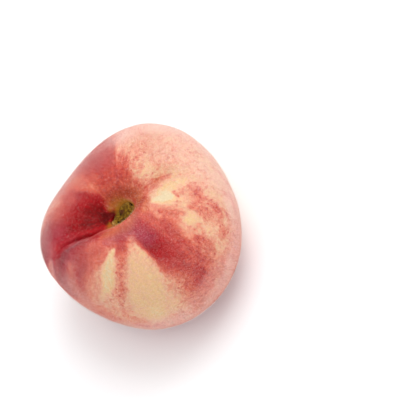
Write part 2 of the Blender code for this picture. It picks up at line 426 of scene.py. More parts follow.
# Strokes are laid one over another. A level of blush runs from 0, ivory, to 1, maroon. The near-black levels
# beside the scar and along the suture are painted shade.
STROKES = (
    # Belly and underside: cream, with a pink belt where the belly turns under
    Stroke(BLUSH, 0.14, ((0, 165, 24), (120, 165, 24), (-120, 165, 24))),
    Stroke(BLUSH, 0.46, ((178, 116, 9), (-140, 124, 15), (-92, 128, 17), (-40, 118, 11))),
    Stroke(BLUSH, 0.72, ((-166, 110, 7), (-128, 118, 13), (-88, 120, 13), (-52, 112, 8))),
    Stroke(BLUSH, 0.24, ((20, 134, 6), (50, 126, 7), (90, 130, 6))),
    Stroke(BLUSH, 0.42, ((-165, 92, 7), (-130, 94, 8), (-90, 96, 8), (-50, 94, 6), (-25, 98, 5)), soft=0.8),
    Stroke(BLUSH, 0.56, ((-123, 89, 0.6), (-119, 91, 1.2), (-114, 92, 1.2), (-109, 91, 0.6))),
    Stroke(OLIVE, 0.26, ((0, 172, 7), (120, 172, 7), (-120, 172, 7))),
    # Sun side, the back of the fruit in the view
    Stroke(BLUSH, 0.58, ((62, 66, 8), (85, 74, 20), (125, 78, 22), (170, 80, 14))),
    Stroke(BLUSH, 0.70, ((85, 66, 8), (110, 72, 13), (150, 76, 11))),
    # Pale shoulder towards +X, pinker and chalkier towards its edge, where the chalk is partly painted sheen
    # of the down at the fruit's edge in view
    Stroke(BLUSH, 0.29, ((30, 60, 16), (0, 70, 15), (-22, 78, 9)), soft=0.8),
    Stroke(BLUSH, 0.34, ((2, 34, 5), (22, 34, 6), (34, 36, 5)), soft=0.8),
    Stroke(BLUSH, 0.20, ((4, 24, 1.8), (14, 26, 1.8)), soft=0.8),
    Stroke(CHALK, 0.65, ((56, 46, 5), (46, 60, 10), (20, 72, 9), (0, 84, 6))),
    Stroke(CHALK, 0.35, ((10, 46, 8), (-10, 64, 9), (-20, 84, 6))),
    Stroke(CHALK, 0.48, ((-18, 77, 2.6), (-26, 80, 3), (-34, 84, 2.6))),
    Stroke(
        CHALK, 0.50, ((-10, 92, 6), (-30, 90, 6.5), (-52, 92, 5), (-76, 92, 6), (-104, 94, 6), (-124, 95, 5))
    ),
    Stroke(CHALK, 0.22, ((-66, 82, 2.4), (-76, 85, 4), (-88, 89, 3.6))),
    # Rose-red crown of the sun side
    Stroke(BLUSH, 0.66, ((66, 22, 3.8), (72, 32, 6), (78, 42, 7.8), (83, 54, 8.6)), soft=0.5),
    Stroke(BLUSH, 0.52, ((42, 20, 2.2), (48, 26, 1.8)), soft=0.7),
    Stroke(BLUSH, 0.52, ((6, 14, 1.8), (24, 14, 2), (38, 15, 1.8))),
    Stroke(BLUSH, 0.60, ((96, 24, 4), (112, 26, 6), (130, 28, 6), (148, 34, 6)), soft=0.6),
    Stroke(BLUSH, 0.59, ((104, 46, 6), (122, 46, 7), (138, 46, 6), (148, 54, 4.4)), soft=0.8),
    Stroke(BLUSH, 0.70, ((70, 20, 1.8), (80, 26, 2.4), (89, 36, 3), (90, 50, 4.2))),
    Stroke(BLUSH, 0.53, ((104, 20, 1.4), (108, 25, 2), (108, 32, 2))),
    Stroke(BLUSH, 0.69, ((56, 16, 1.6), (68, 18, 2), (80, 17, 1.6))),
    Stroke(BLUSH, 0.46, ((94, 16, 1.1), (88, 13, 1.1), (84, 12, 0.9))),
    Stroke(BLUSH, 0.68, ((66, 32, 2.4), (70, 42, 3), (73, 50, 3))),
    Stroke(BLUSH, 0.58, ((30, 13, 1.4), (40, 13, 1.6), (52, 13, 1.4))),
    Stroke(BLUSH, 0.38, ((24, 22, 1.8), (38, 31, 2.4), (50, 36, 2.6)), strength=0.8),
    Stroke(BLUSH, 0.68, ((122, 22, 1.8), (128, 28, 2.4), (134, 34, 3)), soft=0.8),
    # Chalky band along the edge of the sun side, partly painted sheen of the down at the fruit's edge in view
    Stroke(CHALK, 0.26, ((88, 56, 4), (104, 50, 4), (122, 48, 4), (136, 48, 4.6), (146, 54, 4.2))),
    Stroke(VIOLET, 0.12, ((76, 30, 4), (82, 42, 6), (100, 40, 6), (120, 34, 5))),
    # Red ring round the hollow
    Stroke(
        BLUSH, 0.74, ((-30, 7, 2.6), (-66, 7, 3.4), (-100, 7, 3.8), (-140, 7, 3.4), (-172, 8, 2.6)), soft=0.6
    ),
    Stroke(
        BLUSH, 0.60,
        ((-66, 11, 3.2), (-36, 10, 3.4), (-8, 9, 3), (24, 9, 3), (60, 9, 3.4), (96, 8, 2.6)),
        soft=0.6,
    ),
    Stroke(BLUSH, 0.68, ((-66, 15, 2.2), (-46, 14, 2.6), (-28, 14, 2.2)), soft=0.7),
    Stroke(BLUSH, 0.62, ((40, 15, 2.4), (56, 15, 2.6), (80, 16, 2.6), (100, 16, 2.2)), soft=0.8),
    # Maroon wedge between the stalk and the suture
    Stroke(BLUSH, 0.82, ((150, 26, 4.6), (156, 38, 6), (162, 48, 6.4), (168, 60, 6.4)), soft=0.6),
    Stroke(BLUSH, 0.76, ((124, 21, 2.6), (138, 24, 3.6), (156, 28, 4.6), (172, 30, 4.4)), soft=0.7),
    Stroke(BLUSH, 0.88, ((114, 12, 1.8), (132, 14, 3.4), (152, 18, 4.8), (172, 24, 4.4)), soft=0.7),
    Stroke(BLUSH, 0.94, ((132, 9, 2.4), (147, 10, 3.8), (163, 13, 4), (176, 18, 3.2)), soft=0.6),
    Stroke(BLUSH, 0.98, ((170, 18, 2.6), (172, 26, 2.4), (174, 34, 1.6)), soft=0.6),
    # Painted shade: this stroke runs a dark line down the suture's valley floor
    Stroke(BLUSH, 0.95, ((176, 16, 2), (180, 24, 1.8), (-172, 34, 1.6), (-171, 44, 1.6)), soft=0.7),
    Stroke(BLUSH, 0.50, ((96, 17, 1.2), (101, 21, 1.8), (106, 27, 2.4), (112, 34, 2.6))),
    Stroke(BLUSH, 0.82, ((106, 10, 1), (110, 13, 1.4), (114, 16, 1.6), (122, 21, 1.8))),
    Stroke(BLUSH, 0.64, ((130, 28, 2), (138, 31, 2.6), (148, 35, 2.8))),
    Stroke(BLUSH, 1.00, ((163, 16, 1.8), (170, 20, 1.6))),
    Stroke(BLUSH, 0.42, ((134, 40, 2.6), (140, 46, 3.2), (143, 52, 3.2)), strength=0.8),
    # Near lip of the suture
    Stroke(
        BLUSH, 0.50, ((-150, 14, 4), (-148, 30, 8), (-149, 50, 11), (-150, 70, 12), (-148, 86, 9)), soft=0.6
    ),
    Stroke(
        BLUSH, 0.64, ((-150, 12, 3.6), (-146, 22, 5), (-149, 34, 6), (-150, 46, 5), (-151, 60, 3)), soft=0.6
    ),
    Stroke(BLUSH, 0.58, ((-126, 16, 3), (-128, 24, 3), (-134, 34, 3)), soft=0.7),
    Stroke(BLUSH, 0.70, ((-146, 15, 2.4), (-150, 22, 2.6))),
    Stroke(BLUSH, 0.56, ((-138, 23, 1.8), (-144, 25, 1.8))),
    Stroke(BLUSH, 0.66, ((-168, 34, 6), (-166, 48, 7), (-167, 62, 7), (-168, 74, 5))),
    Stroke(
        BLUSH, 0.84, ((-179, 14, 2.8), (-178, 26, 5), (-175, 38, 6), (-172, 50, 5.4), (-171, 62, 4)), soft=0.8
    ),
    Stroke(BLUSH, 0.46, ((179, 59, 1.4), (178, 66, 2.4), (177, 72, 2.6)), strength=0.8),
    Stroke(BLUSH, 0.52, ((150, 52, 2.6), (150, 60, 3)), strength=0.8),
    # Painted shade: the next two strokes darken the inner side of the near lip and run a near-black line down
    # the suture's crease
    Stroke(BLUSH, 0.80, ((-164, 20, 3), (-154, 16, 2.6), (-130, 13, 2), (-118, 13, 1.6)), soft=0.7),
    Stroke(BLUSH, 0.92, ((-163, 24, 1.6), (-167, 30, 2), (-170, 38, 2.4), (-170, 46, 2)), soft=0.8),
    Stroke(BLUSH, 0.80, ((-157, 26, 1.6), (-160, 36, 2))),
    Stroke(BLUSH, 0.72, ((-149, 34, 1.6), (-147, 42, 2), (-148, 50, 1.6))),
    Stroke(BLUSH, 0.48, ((-159, 45, 1.6), (-158, 54, 2.2), (-154, 64, 3), (-146, 70, 3.4)), strength=0.8),
    Stroke(BLUSH, 0.38, ((-141, 50, 2.4), (-140, 60, 3), (-139, 72, 3)), strength=0.7),
    # Cream streak, red band and cream wedge on the near side
    Stroke(BLUSH, 0.60, ((-122, 17, 3), (-106, 17, 3.4), (-92, 17, 3)), soft=0.7),
    Stroke(BLUSH, 0.56, ((-116, 24, 2.2), (-104, 24, 2.2))),
    Stroke(BLUSH, 0.64, ((-66, 16, 2), (-80, 19, 2.4), (-94, 19, 2.6))),
    Stroke(
        BLUSH, 0.34,
        ((-114, 27, 1), (-120, 34, 2.8), (-125, 44, 4), (-130, 55, 4), (-134, 66, 3)),
        strength=0.9,
    ),
    Stroke(
        BLUSH, 0.06,
        ((-111, 26, 0.4), (-116, 30, 1), (-119, 36, 1.8), (-123, 44, 2.2), (-126, 53, 1.8), (-129, 61, 1)),
        soft=0.7,
    ),
    Stroke(BLUSH, 0.54, ((-121, 28, 0.8), (-126, 30, 1.4), (-130, 34, 1.2))),
    Stroke(BLUSH, 0.28, ((-127, 58, 0.8), (-130, 62, 2), (-131, 67, 2.2))),
    Stroke(BLUSH, 0.66, ((-99, 20, 2), (-102, 25, 2.2), (-106, 30, 1.8)), soft=0.8),
    Stroke(BLUSH, 0.50, ((-107, 32, 1.9), (-111, 42, 2), (-115, 53, 2), (-119, 62, 1.6)), soft=0.8),
    Stroke(BLUSH, 0.36, ((-119, 64, 1.6), (-121, 76, 2.2))),
    Stroke(
        BLUSH, 0.28,
        ((-90, 26, 0.9), (-92, 34, 2.4), (-95, 42, 4.4), (-98, 54, 6.8), (-100, 66, 8.4), (-103, 78, 7.6)),
        strength=0.9,
    ),
    Stroke(
        BLUSH, 0.14,
        ((-90, 27, 0.3), (-93, 34, 1.5), (-96, 42, 3.2), (-100, 53, 5.2), (-103, 66, 6.2), (-105, 78, 5)),
        soft=0.7,
    ),
    # Violet and crimson blotch beside the wedge, and its mottled trail
    Stroke(BLUSH, 0.52, ((-76, 58, 6.4), (-74, 70, 7.6), (-77, 80, 7)), soft=0.8),
    Stroke(BLUSH, 0.42, ((-60, 86, 4), (-74, 88, 5), (-88, 92, 5)), soft=0.8),
    Stroke(BLUSH, 0.50, ((-73, 80, 2.6), (-79, 85, 3), (-83, 88, 2.6))),
    Stroke(BLUSH, 0.31, ((-88, 66, 1.4), (-91, 72, 2.2), (-94, 80, 2.2))),
    Stroke(BLUSH, 0.20, ((-93, 69, 1.2), (-95, 74, 1.8), (-98, 80, 1.8))),
    Stroke(BLUSH, 0.58, ((-70, 28, 4.6), (-68, 40, 5.6), (-68, 52, 6), (-70, 64, 4.8)), soft=0.7),
    Stroke(BLUSH, 0.70, ((-76, 34, 4.6), (-77, 46, 5), (-77, 56, 3.6))),
    Stroke(BLUSH, 0.86, ((-77, 24, 2.6), (-78, 31, 4.2), (-80, 38, 4))),
    Stroke(BLUSH, 0.66, ((-73, 68, 2.4), (-75, 73, 3), (-78, 77, 2.4))),
    Stroke(BLUSH, 0.56, ((-82, 70, 1.2), (-84, 74, 1), (-82, 80, 1.2))),
    Stroke(BLUSH, 0.56, ((-60, 24, 2.4), (-56, 34, 3), (-58, 42, 2.8)), soft=0.8),
    Stroke(BLUSH, 0.76, ((-72, 20, 2), (-74, 24, 2.4)), soft=0.7),
    Stroke(BLUSH, 0.20, ((-91, 29, 0.5), (-90, 36, 1.3), (-90, 44, 1.8), (-92, 54, 2)), soft=0.7),
    # Cream-tan streak, ivory patch and its coral flecks
    Stroke(BLUSH, 0.50, ((-60, 52, 1.6), (-60, 62, 1.8), (-60, 70, 1.6)), soft=0.8),
    Stroke(BLUSH, 0.12, ((-52, 42, 1.2), (-50, 48, 2.4), (-51, 56, 2.4), (-50, 66, 1.4)), soft=0.6),
    Stroke(BLUSH, 0.26, ((-42, 34, 5), (-24, 42, 6), (-12, 48, 5)), soft=0.8),
    Stroke(BLUSH, 0.00, ((-41, 24, 2), (-37, 27, 2.8), (-34, 31, 2.8), (-31, 34, 1.6)), soft=0.5),
    Stroke(BLUSH, 0.08, ((-26, 26, 1.8), (-24, 32, 1.8), (-20, 44, 1.2)), soft=0.8),
    Stroke(BLUSH, 0.36, ((-30, 48, 4), (-34, 56, 6), (-42, 64, 5), (-48, 74, 4))),
    Stroke(BLUSH, 0.44, ((-25, 47, 1.2), (-28, 52, 1.8), (-33, 53, 1.4))),
    Stroke(BLUSH, 0.52, ((-28, 51, 1.1), (-26, 54, 0.9))),
    Stroke(BLUSH, 0.50, ((-41, 47, 1), (-41, 51, 1))),
    Stroke(BLUSH, 0.50, ((-33, 60, 0.9), (-36, 63, 0.9))),
    Stroke(BLUSH, 0.57, ((-36, 67, 1), (-39, 70, 1.3), (-40, 72, 0.8))),
    Stroke(BLUSH, 0.52, ((-47, 74, 0.9), (-50, 78, 1.2))),
    Stroke(BLUSH, 0.50, ((-40, 81, 0.8), (-41, 84, 0.8))),
    Stroke(BLUSH, 0.64, ((-59, 53, 0.9), (-59, 57, 1))),
    Stroke(BLUSH, 0.46, ((-40, 50, 1.2), (-43, 57, 1.8))),
    Stroke(BLUSH, 0.50, ((-38, 65, 0.9), (-40, 72, 1.3))),
    Stroke(BLUSH, 0.50, ((-24, 86, 1.4), (-31, 90, 1.6))),
    Stroke(BLUSH, 0.48, ((-24, 78, 1), (-25, 81, 1.2))),
    Stroke(BLUSH, 0.46, ((-29, 35, 0.6), (-33, 38, 0.7)), soft=0.8),
    Stroke(BLUSH, 0.22, ((-29, 60, 1.6), (-28, 72, 2)), soft=0.8),
    Stroke(BLUSH, 0.33, ((-46, 24, 1.4), (-45, 30, 1.8), (-43, 36, 2))),
    Stroke(BLUSH, 0.52, ((-32, 17, 1), (-45, 19, 1.6), (-52, 25, 1.8), (-52, 32, 2.2), (-49, 38, 2.2))),
    Stroke(BLUSH, 0.62, ((-60, 19, 1.8), (-60, 26, 2), (-62, 34, 2.4), (-64, 42, 2.4))),
    Stroke(BLUSH, 0.40, ((-46, 21, 0.9), (-52, 25, 1.2), (-55, 28, 1))),
    Stroke(BLUSH, 0.50, ((-51, 38, 1.2), (-56, 41, 1.4))),
    Stroke(BLUSH, 0.32, ((-55, 45, 1.4), (-57, 49, 2.2), (-56, 53, 1.4))),
    Stroke(BLUSH, 0.38, ((-52, 55, 1.2), (-54, 59, 1.4))),
    Stroke(BLUSH, 0.46, ((-38, 78, 1.4), (-42, 83, 1.4))),
    Stroke(BLUSH, 0.46, ((-10, 84, 1.2), (-14, 90, 1.6))),
    # Short crease
    Stroke(BLUSH, 0.46, ((-9, 13, 1.8), (-12, 20, 2.2), (-12, 27, 1.6), (-11, 34, 1.2)), soft=0.8),
    Stroke(BLUSH, 0.52, ((4, 8, 0.6), (-4, 11, 0.6), (-8, 16, 0.5), (-10, 24, 0.3), (-10, 36, 0.3))),
    Stroke(MOTTLE, 0.35, ((-6, 14, 2), (-12, 24, 2.4), (-10, 36, 2))),
    Stroke(OLIVE, 0.10, ((-8, 42, 4), (4, 34, 4), (18, 38, 5), (34, 44, 5))),
    Stroke(OLIVE, 0.22, ((-8, 27, 1.6), (-1, 31, 2.4), (-6, 37, 2.2))),
    # Pale bloom on the rim where the suture leaves it, partly painted sheen of the down at the fruit's edge
    # in view
    Stroke(CHALK, 0.18, ((152, 46, 2.4), (162, 47, 2.4), (172, 50, 2.4))),
    Stroke(CHALK, 0.20, ((-160, 58, 2.4), (-158, 66, 3.4), (-150, 74, 3.4))),
    Stroke(CHALK, 0.14, ((-174, 51, 1.4), (-171, 58, 2.6), (-169, 68, 3.4))),
    Stroke(CHALK, 0.38, ((179, 57, 1.4), (-179, 62, 2), (-179, 71, 2.4))),
    # Violet bloom of the down, partly painted sheen where the skin turns from the view beside the near lip
    # and the suture
    Stroke(VIOLET, 0.34, ((-118, 20, 1.8), (-100, 18, 2.4), (-80, 17, 2.6), (-66, 15, 2))),
    Stroke(VIOLET, 0.36, ((-88, 20, 2.2), (-80, 25, 2.8), (-78, 31, 2.2))),
    Stroke(VIOLET, 0.26, ((164, 34, 3), (166, 46, 5), (174, 60, 6))),
    Stroke(VIOLET, 0.20, ((-172, 30, 4), (-164, 44, 5), (-158, 60, 6))),
    # Shade of the fold left of the scar, painted into the skin as near-black red, and the near lip beside it
    Stroke(BLUSH, 0.66, ((30, 9, 1.2), (48, 9, 1.4), (72, 9, 1.4), (92, 10, 1.2))),
    # Painted shade: near-black red in the fold between the scar and the wall
    Stroke(BLUSH, 0.92, ((98, 3, 1), (110, 4, 1.2), (122, 4, 1.2)), soft=0.8),
    Stroke(BLUSH, 1.00, ((130, 4, 1.4), (142, 5, 1.8), (156, 6, 2), (170, 6, 1.8), (179, 6, 1.4)), soft=0.7),
    Stroke(BLUSH, 0.58, ((-126, 11, 2.2), (-95, 12, 2.4), (-64, 12, 2.4)), soft=0.8),
    # Olive round the scar, widest above it and thin beside the suture
    Stroke(OLIVE, 0.22, ((-64, 11, 2.4), (-30, 11, 3), (0, 10, 2.6), (40, 8, 2.2), (90, 8, 2.2))),
    Stroke(OLIVE, 0.60, ((60, 6, 1.2), (80, 6, 1.6), (100, 6, 1.6), (112, 6, 1))),
    Stroke(
        OLIVE, 0.95,
        ((-20, 5, 0.9), (20, 5, 0.9), (56, 5, 1.2), (84, 4, 1.3), (104, 3, 1), (122, 2, 0.6)),
        soft=0.7,
    ),
    Stroke(OLIVE, 0.22, ((-124, 14, 2.2), (-104, 15, 2.6), (-84, 17, 2.2), (-66, 14, 2.2))),
    Stroke(OLIVE, 0.22, ((-52, 19, 1.6), (-34, 17, 2))),
    Stroke(
        OLIVE, 0.80,
        ((-176, 5, 0.5), (-150, 7, 0.8), (-128, 9, 0.9), (-104, 10, 0.7), (-84, 10, 0.7)),
        soft=0.8,
    ),
    Stroke(OLIVE, 0.36, ((-84, 9, 1), (-60, 9, 1.4), (-40, 10, 1.4), (-16, 9, 1.2))),
    Stroke(
        OLIVE, 0.64, ((-40, 6, 1.6), (-70, 7, 2.4), (-104, 7, 2.6), (-136, 6, 2.4), (-166, 5, 1.2)), soft=0.7
    ),
    # Mottling
    Stroke(MOTTLE, 1.10, ((-78, 54, 6), (-72, 62, 8), (-72, 78, 10), (-84, 92, 6))),
    Stroke(MOTTLE, 0.90, ((-30, 50, 6), (-38, 62, 8), (-50, 84, 8))),
    Stroke(MOTTLE, 1.00, ((-112, 40, 3), (-118, 58, 4), (-122, 76, 8))),
    Stroke(MOTTLE, 1.00, ((10, 30, 8), (20, 48, 14), (0, 66, 14))),
    Stroke(MOTTLE, 1.00, ((-64, 92, 4), (-84, 97, 6), (-110, 96, 7), (-140, 90, 7))),
    Stroke(MOTTLE, 0.80, ((0, 140, 14), (90, 140, 14), (180, 140, 14), (-90, 140, 14), (0, 140, 14))),
    Stroke(MOTTLE, 0.30, ((-98, 36, 2.6), (-102, 56, 5.6), (-104, 70, 6.6)), soft=0.8),
    Stroke(MOTTLE, 0.40, ((-40, 24, 2.4), (-34, 30, 2.8)), soft=0.8),
    Stroke(MOTTLE, 0.25, ((130, 10, 4), (160, 18, 6)), soft=0.8),
    Stroke(MOTTLE, 0.25, ((-130, 12, 2.6), (-96, 14, 3), (-62, 13, 3)), soft=0.8),
    Stroke(MOTTLE, 0.30, ((66, 22, 4), (80, 42, 9), (110, 30, 7), (150, 30, 7)), soft=0.8),
    Stroke(MOTTLE, 0.35, ((-175, 26, 6), (-172, 50, 7), (-174, 70, 7)), soft=0.8),
    Stroke(MOTTLE, 0.35, ((-80, 22, 3), (-77, 36, 4))),
)


@dataclass
class PeachSkin:
    """The skin of the whole fruit, with its relief, its painted pigments and its finish."""

    form: FruitForm
    lip: SocketLip
    core: Vector
    columns: int = 480
    crowding: float = 0.34
    socket_floor: float = 0.0332
    floor_reach: float = 0.0024
    floor_rings: int = 3
    lip_step: float = 0.00013
    lip_reach: float = 0.0050
    step_growth: float = 1.055
    widest_step: float = 0.00050
    shoulder_reach: float = 0.0300
    side_rings: int = 60
    belly_rings: int = 56
    pucker_size: float = 0.16
    pucker_slant: float = 0.6
    pucker_depth: float = 0.00022
    pucker_middle: float = 0.0066
    pucker_half: float = 0.0022
    swell_depth: float = 0.00022
    swell_size: float = 0.0100
    swell_start: float = 0.0080
    grain_depth: float = 0.00003
    grain_size: float = 0.0022
    line_depth: float = 0.00018
    line_half: float = 0.0013
    line_start: float = 36.0
    line_rise: float = 14.0
    line_end: float = 160.0
    line_fall: float = 20.0
    edge_size: float = 0.0026
    edge_share: float = 0.6
    streak_size: float = 0.09
    streak_share: float = 0.7
    edge_reach: float = 0.26
    base_blush: float = 0.28
    base_mottle: float = 0.55
    path_steps: int = 7
    margin: float = 2.6
    far_off: float = 99.0
    least_run: float = 1e-12

    def ring_tilts(self) -> np.ndarray:
        """Angles of all rings of vertices from the core, crowded where the skin turns down to the stump.

        Returns:
            Angles in radians, from the top pole to the bottom one.
        """
        reaches = [self.floor_reach * k / self.floor_rings for k in range(1, self.floor_rings + 1)]
        step = self.lip_step
        while reaches[-1] + step < self.shoulder_reach:
            reaches.append(reaches[-1] + step)
            if reaches[-1] > self.lip_reach:
                step = min(step * self.step_growth, self.widest_step)
        top = [self.form.tilt_at_reach(reach) for reach in reaches]
        shares = np.arange(self.belly_rings, 0, -1) / self.belly_rings
        bottom = [math.pi - self.form.tilt_at_reach(self.shoulder_reach * share) for share in shares]
        side = np.linspace(top[-1], bottom[0], self.side_rings + 2)[1:-1]
        return np.array([0.0, *top, *side, *bottom, math.pi])

    def relief(self, place: np.ndarray, tilt: np.ndarray, azimuth: np.ndarray) -> np.ndarray:
        """Height of the fine relief over the plain form.

        Args:
            place: Points of the form, in metres.
            tilt: Their angles from the core, in radians.
            azimuth: Their angles in plan, in radians.

        Returns:
            Heights in metres, below zero in pleats and grooves.
        """
        reach = self.form.reach_at_tilt(tilt)
        top = np.cos(tilt) > 0.0
        around = np.stack([np.cos(azimuth), np.sin(azimuth), self.pucker_slant * tilt], axis=-1)
        pleats = noise_at(around, self.pucker_size, Shift.PLEATS)
        pleats = pleats * np.where(top, bell(reach - self.pucker_middle, self.pucker_half), 0.0)
        swells = noise_at(place, self.swell_size, Shift.SWELLS) * past_core(reach, self.swell_start)
        grain = noise_at(place, self.grain_size, Shift.GRAIN)
        degrees = np.degrees(tilt)
        along = ease(self.line_start, self.line_start + self.line_rise, degrees)
        along = along * (1.0 - ease(self.line_end - self.line_fall, self.line_end, degrees))
        groove = np.where(place[:, 0] < 0.0, along * bell(place[:, 1], self.line_half), 0.0)
        lifted = self.pucker_depth * pleats + self.swell_depth * swells + self.grain_depth * grain
        return lifted - self.line_depth * groove

    def ball(self, rows: int) -> bmesh.types.BMesh:
        """Closes a flat grid into a unit ball, with even rings from pole to pole.

        Args:
            rows: Steps from the top pole to the bottom one.

        Returns:
            The ball.
        """
        shape = bmesh.new()
        bmesh.ops.create_grid(shape, x_segments=self.columns, y_segments=rows, size=1.0)
        for vertex in shape.verts:
            turn, fall = math.pi * vertex.co.x, 0.5 * math.pi * (1.0 - vertex.co.y)
            around = Vector((math.cos(turn), math.sin(turn), 0.0)) * math.sin(fall)
            vertex.co = around + Vector((0.0, 0.0, math.cos(fall)))
        bmesh.ops.remove_doubles(shape, verts=shape.verts, dist=WELD)
        return shape

    def spread(self, place: np.ndarray, tilt: np.ndarray, azimuth: np.ndarray) -> np.ndarray:
        """Lays the relief on the form and turns its wall down into the stump's socket.

        Args:
            place: Points of the form, in metres from the foot of the core.
            tilt: Their angles from the core, in radians.
            azimuth: Their angles in plan, in radians.

        Returns:
            The finished points, in the frame's place.
        """
        reach = self.form.reach_at_tilt(tilt)
        top = np.cos(tilt) > 0.0
        normal = place - np.array((0.0, 0.0, self.form.equator_height))
        normal = normal / np.linalg.norm(normal, axis=1)[:, None]
        normal[top & (reach < self.form.core_round)] = (0.0, 0.0, 1.0)
        moved = place + normal * self.relief(place, tilt, azimuth)[:, None]
        wall = self.lip.start(azimuth)
        sunk = np.where(top, ease(wall, wall + self.lip.width, reach), 1.0)
        moved[:, 2] = self.socket_floor + (moved[:, 2] - self.socket_floor) * sunk
        moved[:, 2] = np.maximum(moved[:, 2], 0.0)
        return moved + np.array((self.core.x, self.core.y, 0.0))

    def build(self) -> bpy.types.Object:
        """Makes the skin as a fine ball moved onto the form, and paints it.

        Returns:
            The skin's object, which stands for the CAD node.
        """
        tilts = self.ring_tilts()
        rows = len(tilts) - 1
        shape = self.ball(rows)
        unit = np.array([vertex.co for vertex in shape.verts])
        rings = np.rint(np.arccos(np.clip(unit[:, 2], -1.0, 1.0)) / math.pi * rows).astype(int)
        turn = np.arctan2(unit[:, 1], unit[:, 0])
        azimuth = turn - 0.5 * self.crowding * np.sin(2.0 * turn)
        tilt = tilts[rings]
        place = self.form.surface(tilt, azimuth)
        settle(shape, self.spread(place, tilt, azimuth), {})
        bmesh.ops.recalc_face_normals(shape, faces=shape.faces)
        mesh = mesh_from(shape, "peach_skin")
        self.paint(mesh, place, tilt, azimuth)
        skin = link("peach_skin", mesh)
        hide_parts("peach_fruit")
        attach(skin, BODY)
        return skin

    def stroke_line(self, stroke: Stroke) -> np.ndarray:
        """Points and half widths along a stroke.

        Args:
            stroke: The stroke to lay out.

        Returns:
            One row of x, y, z and half width in metres for each point.
        """
        path = np.array(stroke.path, dtype=float)
        turns = np.degrees(np.unwrap(np.radians(path[:, 0])))
        spots = np.linspace(0.0, len(path) - 1.0, (len(path) - 1) * self.path_steps + 1)
        marks = np.arange(len(path))
        azimuth, tilt, half = (np.interp(spots, marks, row) for row in (turns, path[:, 1], path[:, 2]))
        place = self.form.surface(np.radians(tilt), np.radians(azimuth))
        return np.column_stack([place, half * MM])

    def stroke_weight(self, stroke: Stroke, place: np.ndarray, edge: np.ndarray) -> np.ndarray:
        """How fully a stroke covers each point.

        Args:
            stroke: The stroke.
            place: Points of the form.
            edge: Noise that frays the stroke's edge.

        Returns:
            Shares between 0 and 1.
        """
        line = self.stroke_line(stroke)
        margin = self.margin * line[:, 3].max()
        low, high = line[:, :3].min(axis=0) - margin, line[:, :3].max(axis=0) + margin
        near = np.flatnonzero(np.all((place > low) & (place < high), axis=1))
        spots = place[near]
        nearest = np.full(len(near), self.far_off)
        for start, end in zip(line, line[1:]):
            run = end[:3] - start[:3]
            away = spots - start[:3]
            share = np.clip(away @ run / max(run @ run, self.least_run), 0.0, 1.0)
            gap = np.linalg.norm(away - share[:, None] * run, axis=1)
            half = start[3] + share * (end[3] - start[3])
            nearest = np.minimum(nearest, gap / half)
        nearest = nearest + self.edge_reach * edge[near]
        cover = np.zeros(len(place))
        cover[near] = stroke.strength * (1.0 - ease(1.0 - stroke.soft, 1.0 + stroke.soft, nearest))
        return cover

    def paint(self, mesh: bpy.types.Mesh, place: np.ndarray, tilt: np.ndarray, azimuth: np.ndarray) -> None:
        """Lays all strokes into the mesh's attributes, and writes where each vertex lies on the fruit.

        Args:
            mesh: The skin's mesh.
            place: The form's point for each vertex.
            tilt: The vertices' angles from the core.
            azimuth: The vertices' angles in plan.
        """
        outward = np.stack([np.cos(azimuth), np.sin(azimuth), LIE_SLANT * tilt], axis=-1)
        edge = self.edge_share * noise_at(place, self.edge_size, Shift.STROKE_EDGE)
        edge = edge + self.streak_share * noise_at(outward, self.streak_size, Shift.STROKE_STREAKS)
        levels = {pigment: np.zeros(len(place)) for pigment in Pigment}
        levels[BLUSH] += self.base_blush
        levels[MOTTLE] += self.base_mottle
        for stroke in STROKES:
            weight = self.stroke_weight(stroke, place, edge)
            levels[stroke.pigment] += (stroke.level - levels[stroke.pigment]) * weight
        for pigment, level in levels.items():
            layer = mesh.attributes.new(pigment.value, "FLOAT", "POINT")
            layer.data.foreach_set("value", level.astype(np.float32))
        lie = mesh.attributes.new("lie", "FLOAT_VECTOR", "POINT")
        lie.data.foreach_set("vector", outward.astype(np.float32).ravel())

    def dress(self, skin: bpy.types.Object) -> None:
        """Gives the skin its finish."""
        skin.data.materials.append(PeachSkinFinish().material())


@dataclass(frozen=True)
class Patches:
    """A pattern of cloudy patches whose two levels meet in a soft edge.

    The edges are the two values of the noise between which the level changes, and the levels are the one
    below them and the one above.
    """

    size_mm: float
    edges: tuple[float, float]
    levels: tuple[float, float]
    detail: float = 3.0
    roughness: float = 0.5

    def lay(self, tree: Tree, place: Socket, unit: float = 1.0) -> Socket:
        """Adds the pattern to a material.

        Args:
            tree: The material's tree.
            place: The socket with the places to read.
            unit: Metres to one unit of those places.

        Returns:
            The socket of the level.
        """
        scale = unit * per_mm(self.size_mm)
        reading = {"Vector": place, "Scale": scale, "Detail": self.detail, "Roughness": self.roughness}
        cloud = add_node(tree, NOISE, {}, reading).outputs["Fac"]
        bounds = dict(zip(("From Min", "From Max", "To Min", "To Max"), (*self.edges, *self.levels)))
        return add_node(tree, RANGE, SMOOTH, {"Value": cloud, **bounds}).outputs[0]


